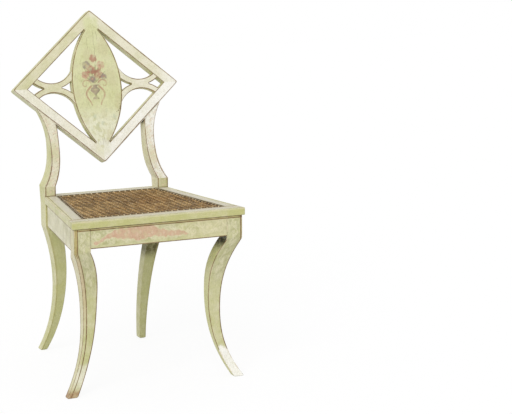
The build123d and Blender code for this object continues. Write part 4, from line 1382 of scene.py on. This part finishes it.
def arm_rows(towards, upward):
    """Arm of a rib: both its edges run by angle from the neck to where each ends."""
    share = np.linspace(0, 1, 60)
    edges = []
    for radius in (RIB_IN, RIB_OUT):
        start = math.asin(NECK / radius)
        angle = start + (arm_angle(radius, towards) - start) * share
        edges += [RIB_CENTRE + towards * radius * np.sin(angle), upward * (RIB_UP - radius * np.cos(angle))]
    return board_rows(*edges, RIB_DEPTH)


def fret_coat(spots, left):
    """Cream, with a line along both edges of each rib and an old crack across the left neck; the right fret
    is whiter, as chalk and a painted highlight.
    """
    # The right fret's whiter cream and chalk are partly a painted highlight.
    coat = Coat(spots, (0.65 if left else 0.85, 0.3, 0.3, 0.3), wear=0.3, ends=0.0)
    coat.tone[:, 3] = coat.face(0) * (0.1 if left else 0.35)
    coat.draw(0, (1.3, None, 1.3, None))
    if left:
        coat.rule(0, spots.at[:, 0] + 161.0, spots.part == 0)
    return coat


for hand in ("right", "left"):
    rows = [neck_rows()] + [arm_rows(towards, upward) for towards in (-1, 1) for upward in (1, -1)]
    skins = [loft(both_hands(part)[hand], 1.2, (8, 2, 2, 2)) for part in rows]
    piece(f"rib_fret_{hand}", skins, painted, lambda spots: fret_coat(spots, hand == "left"))

# %% [markdown]
# ## Hidden wood and steel
# Glue blocks, loose tongues and screws are only seen from below or in the joints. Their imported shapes
# are right as they are, so they stay, and only get a finish: streaked raw wood, and dull steel.

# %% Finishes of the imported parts
def raw_wood():
    """Brown wood with streaks that are long up the chair and narrow across it."""
    mix = Recipe("raw_old_wood", 0.7)
    streaks = mix.noise(60.0, 5.0, (4, 4, 0.4))
    specks = mix.noise(180.0, 3.0)
    share = mix.plus(mix.between(streaks, 0.3, 0.7, 0.0, 0.8), mix.between(specks, 0.4, 0.7, 0.0, 0.2), True)
    mix.bump(streaks, 0.0004)
    return mix.finish(mix.mix(share, (98, 70, 42), (168, 128, 84)))


def dull_steel():
    """Grey-brown metal, patchy where it has tarnished."""
    mix = Recipe("dull_screw_steel", 0.45)
    mix.shader.inputs["Metallic"].default_value = 0.9
    tarnish = mix.between(mix.noise(300.0, 4.0), 0.4, 0.65)
    mix.bump(tarnish, 0.0001)
    return mix.finish(mix.mix(tarnish, (150, 144, 136), (94, 80, 66)))


wood, steel = raw_wood(), dull_steel()
finishes = {"corner_tongues": wood, "block_screws": steel, "seat_screws": steel}
finishes.update({f"glue_block_{end}_{hand}": wood for end in ("front", "rear") for hand in ("left", "right")})
for name, finish in finishes.items():
    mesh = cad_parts[name].data
    mesh.materials.clear()
    mesh.materials.append(finish)
print("packed parts finished:", ", ".join(finishes))

# %% [markdown]
# ## Light and floor
# Soft daylight comes from an even white world. One broad sun stands behind the camera, so front
# faces come out a little lighter than the sides and the seat shades the rear legs. A sun
# lights the whole floor evenly, which an area lamp doesn't, so the floor fades into the white
# background and keeps only the chair's soft shadow.

# %% Light and floor
SKY_LEVEL, SUN_LEVEL = 0.68, 0.45
FLOOR_CLEARNESS, FLOOR_GLOW = 0.84, 1.05
scene = bpy.context.scene
scene.view_settings.view_transform = "Standard"


def rays_that_see(tree):
    """1 for rays that show the backdrop: the camera's own, and those seen in gloss or through glass."""
    rays = wired(tree, "ShaderNodeLightPath").outputs
    most = rays["Is Camera Ray"]
    for kind in ("Is Glossy Ray", "Is Transmission Ray"):
        most = wired(tree, "ShaderNodeMath", {0: most, 1: rays[kind]}, operation="MAXIMUM").outputs[0]
    return most


world = bpy.data.worlds.new("daylight")
world.use_nodes = True
scene.world = world
sky = world.node_tree
wires = {"Value": rays_that_see(sky), "To Min": SKY_LEVEL, "To Max": 1.0}
level_of_sky = wired(sky, "ShaderNodeMapRange", wires)
background = sky.nodes["Background"]
background.inputs["Color"].default_value = (1, 1, 1, 1)
sky.links.new(level_of_sky.outputs[0], background.inputs["Strength"])

sunlight = bpy.data.lights.new("broad_sun", "SUN")
sunlight.energy = SUN_LEVEL * math.pi
sunlight.angle = math.radians(40)
sun = bpy.data.objects.new("broad_sun", sunlight)
sun.rotation_euler = Vector((-0.55, -0.62, 0.56)).to_track_quat("Z", "Y").to_euler()
scene.collection.objects.link(sun)

floor_mesh = bpy.data.meshes.new("floor")
floor_mesh.from_pydata([(-9, -9, 0), (9, -9, 0), (9, 9, 0), (-9, 9, 0)], [], [(0, 1, 2, 3)])
floor = bpy.data.objects.new("floor", floor_mesh)
scene.collection.objects.link(floor)
floor_paint = bpy.data.materials.new("white_floor")
floor_paint.use_nodes = True
ground = floor_paint.node_tree
ground.nodes.remove(ground.nodes["Principled BSDF"])
wires = {0: rays_that_see(ground), 1: FLOOR_CLEARNESS}
clearness = wired(ground, "ShaderNodeMath", wires, operation="MULTIPLY").outputs[0]
matt = wired(ground, "ShaderNodeBsdfDiffuse", {"Color": (0.8, 0.8, 0.8, 1)})
glow = wired(ground, "ShaderNodeEmission", {"Color": (1, 1, 1, 1), "Strength": FLOOR_GLOW})
blend = wired(ground, "ShaderNodeMixShader", {0: clearness, 1: matt.outputs[0], 2: glow.outputs[0]})
ground.links.new(blend.outputs[0], ground.nodes["Material Output"].inputs["Surface"])
floor_mesh.materials.append(floor_paint)
print("sky", SKY_LEVEL, "of white, sun", round(sunlight.energy, 2), "W per square metre")
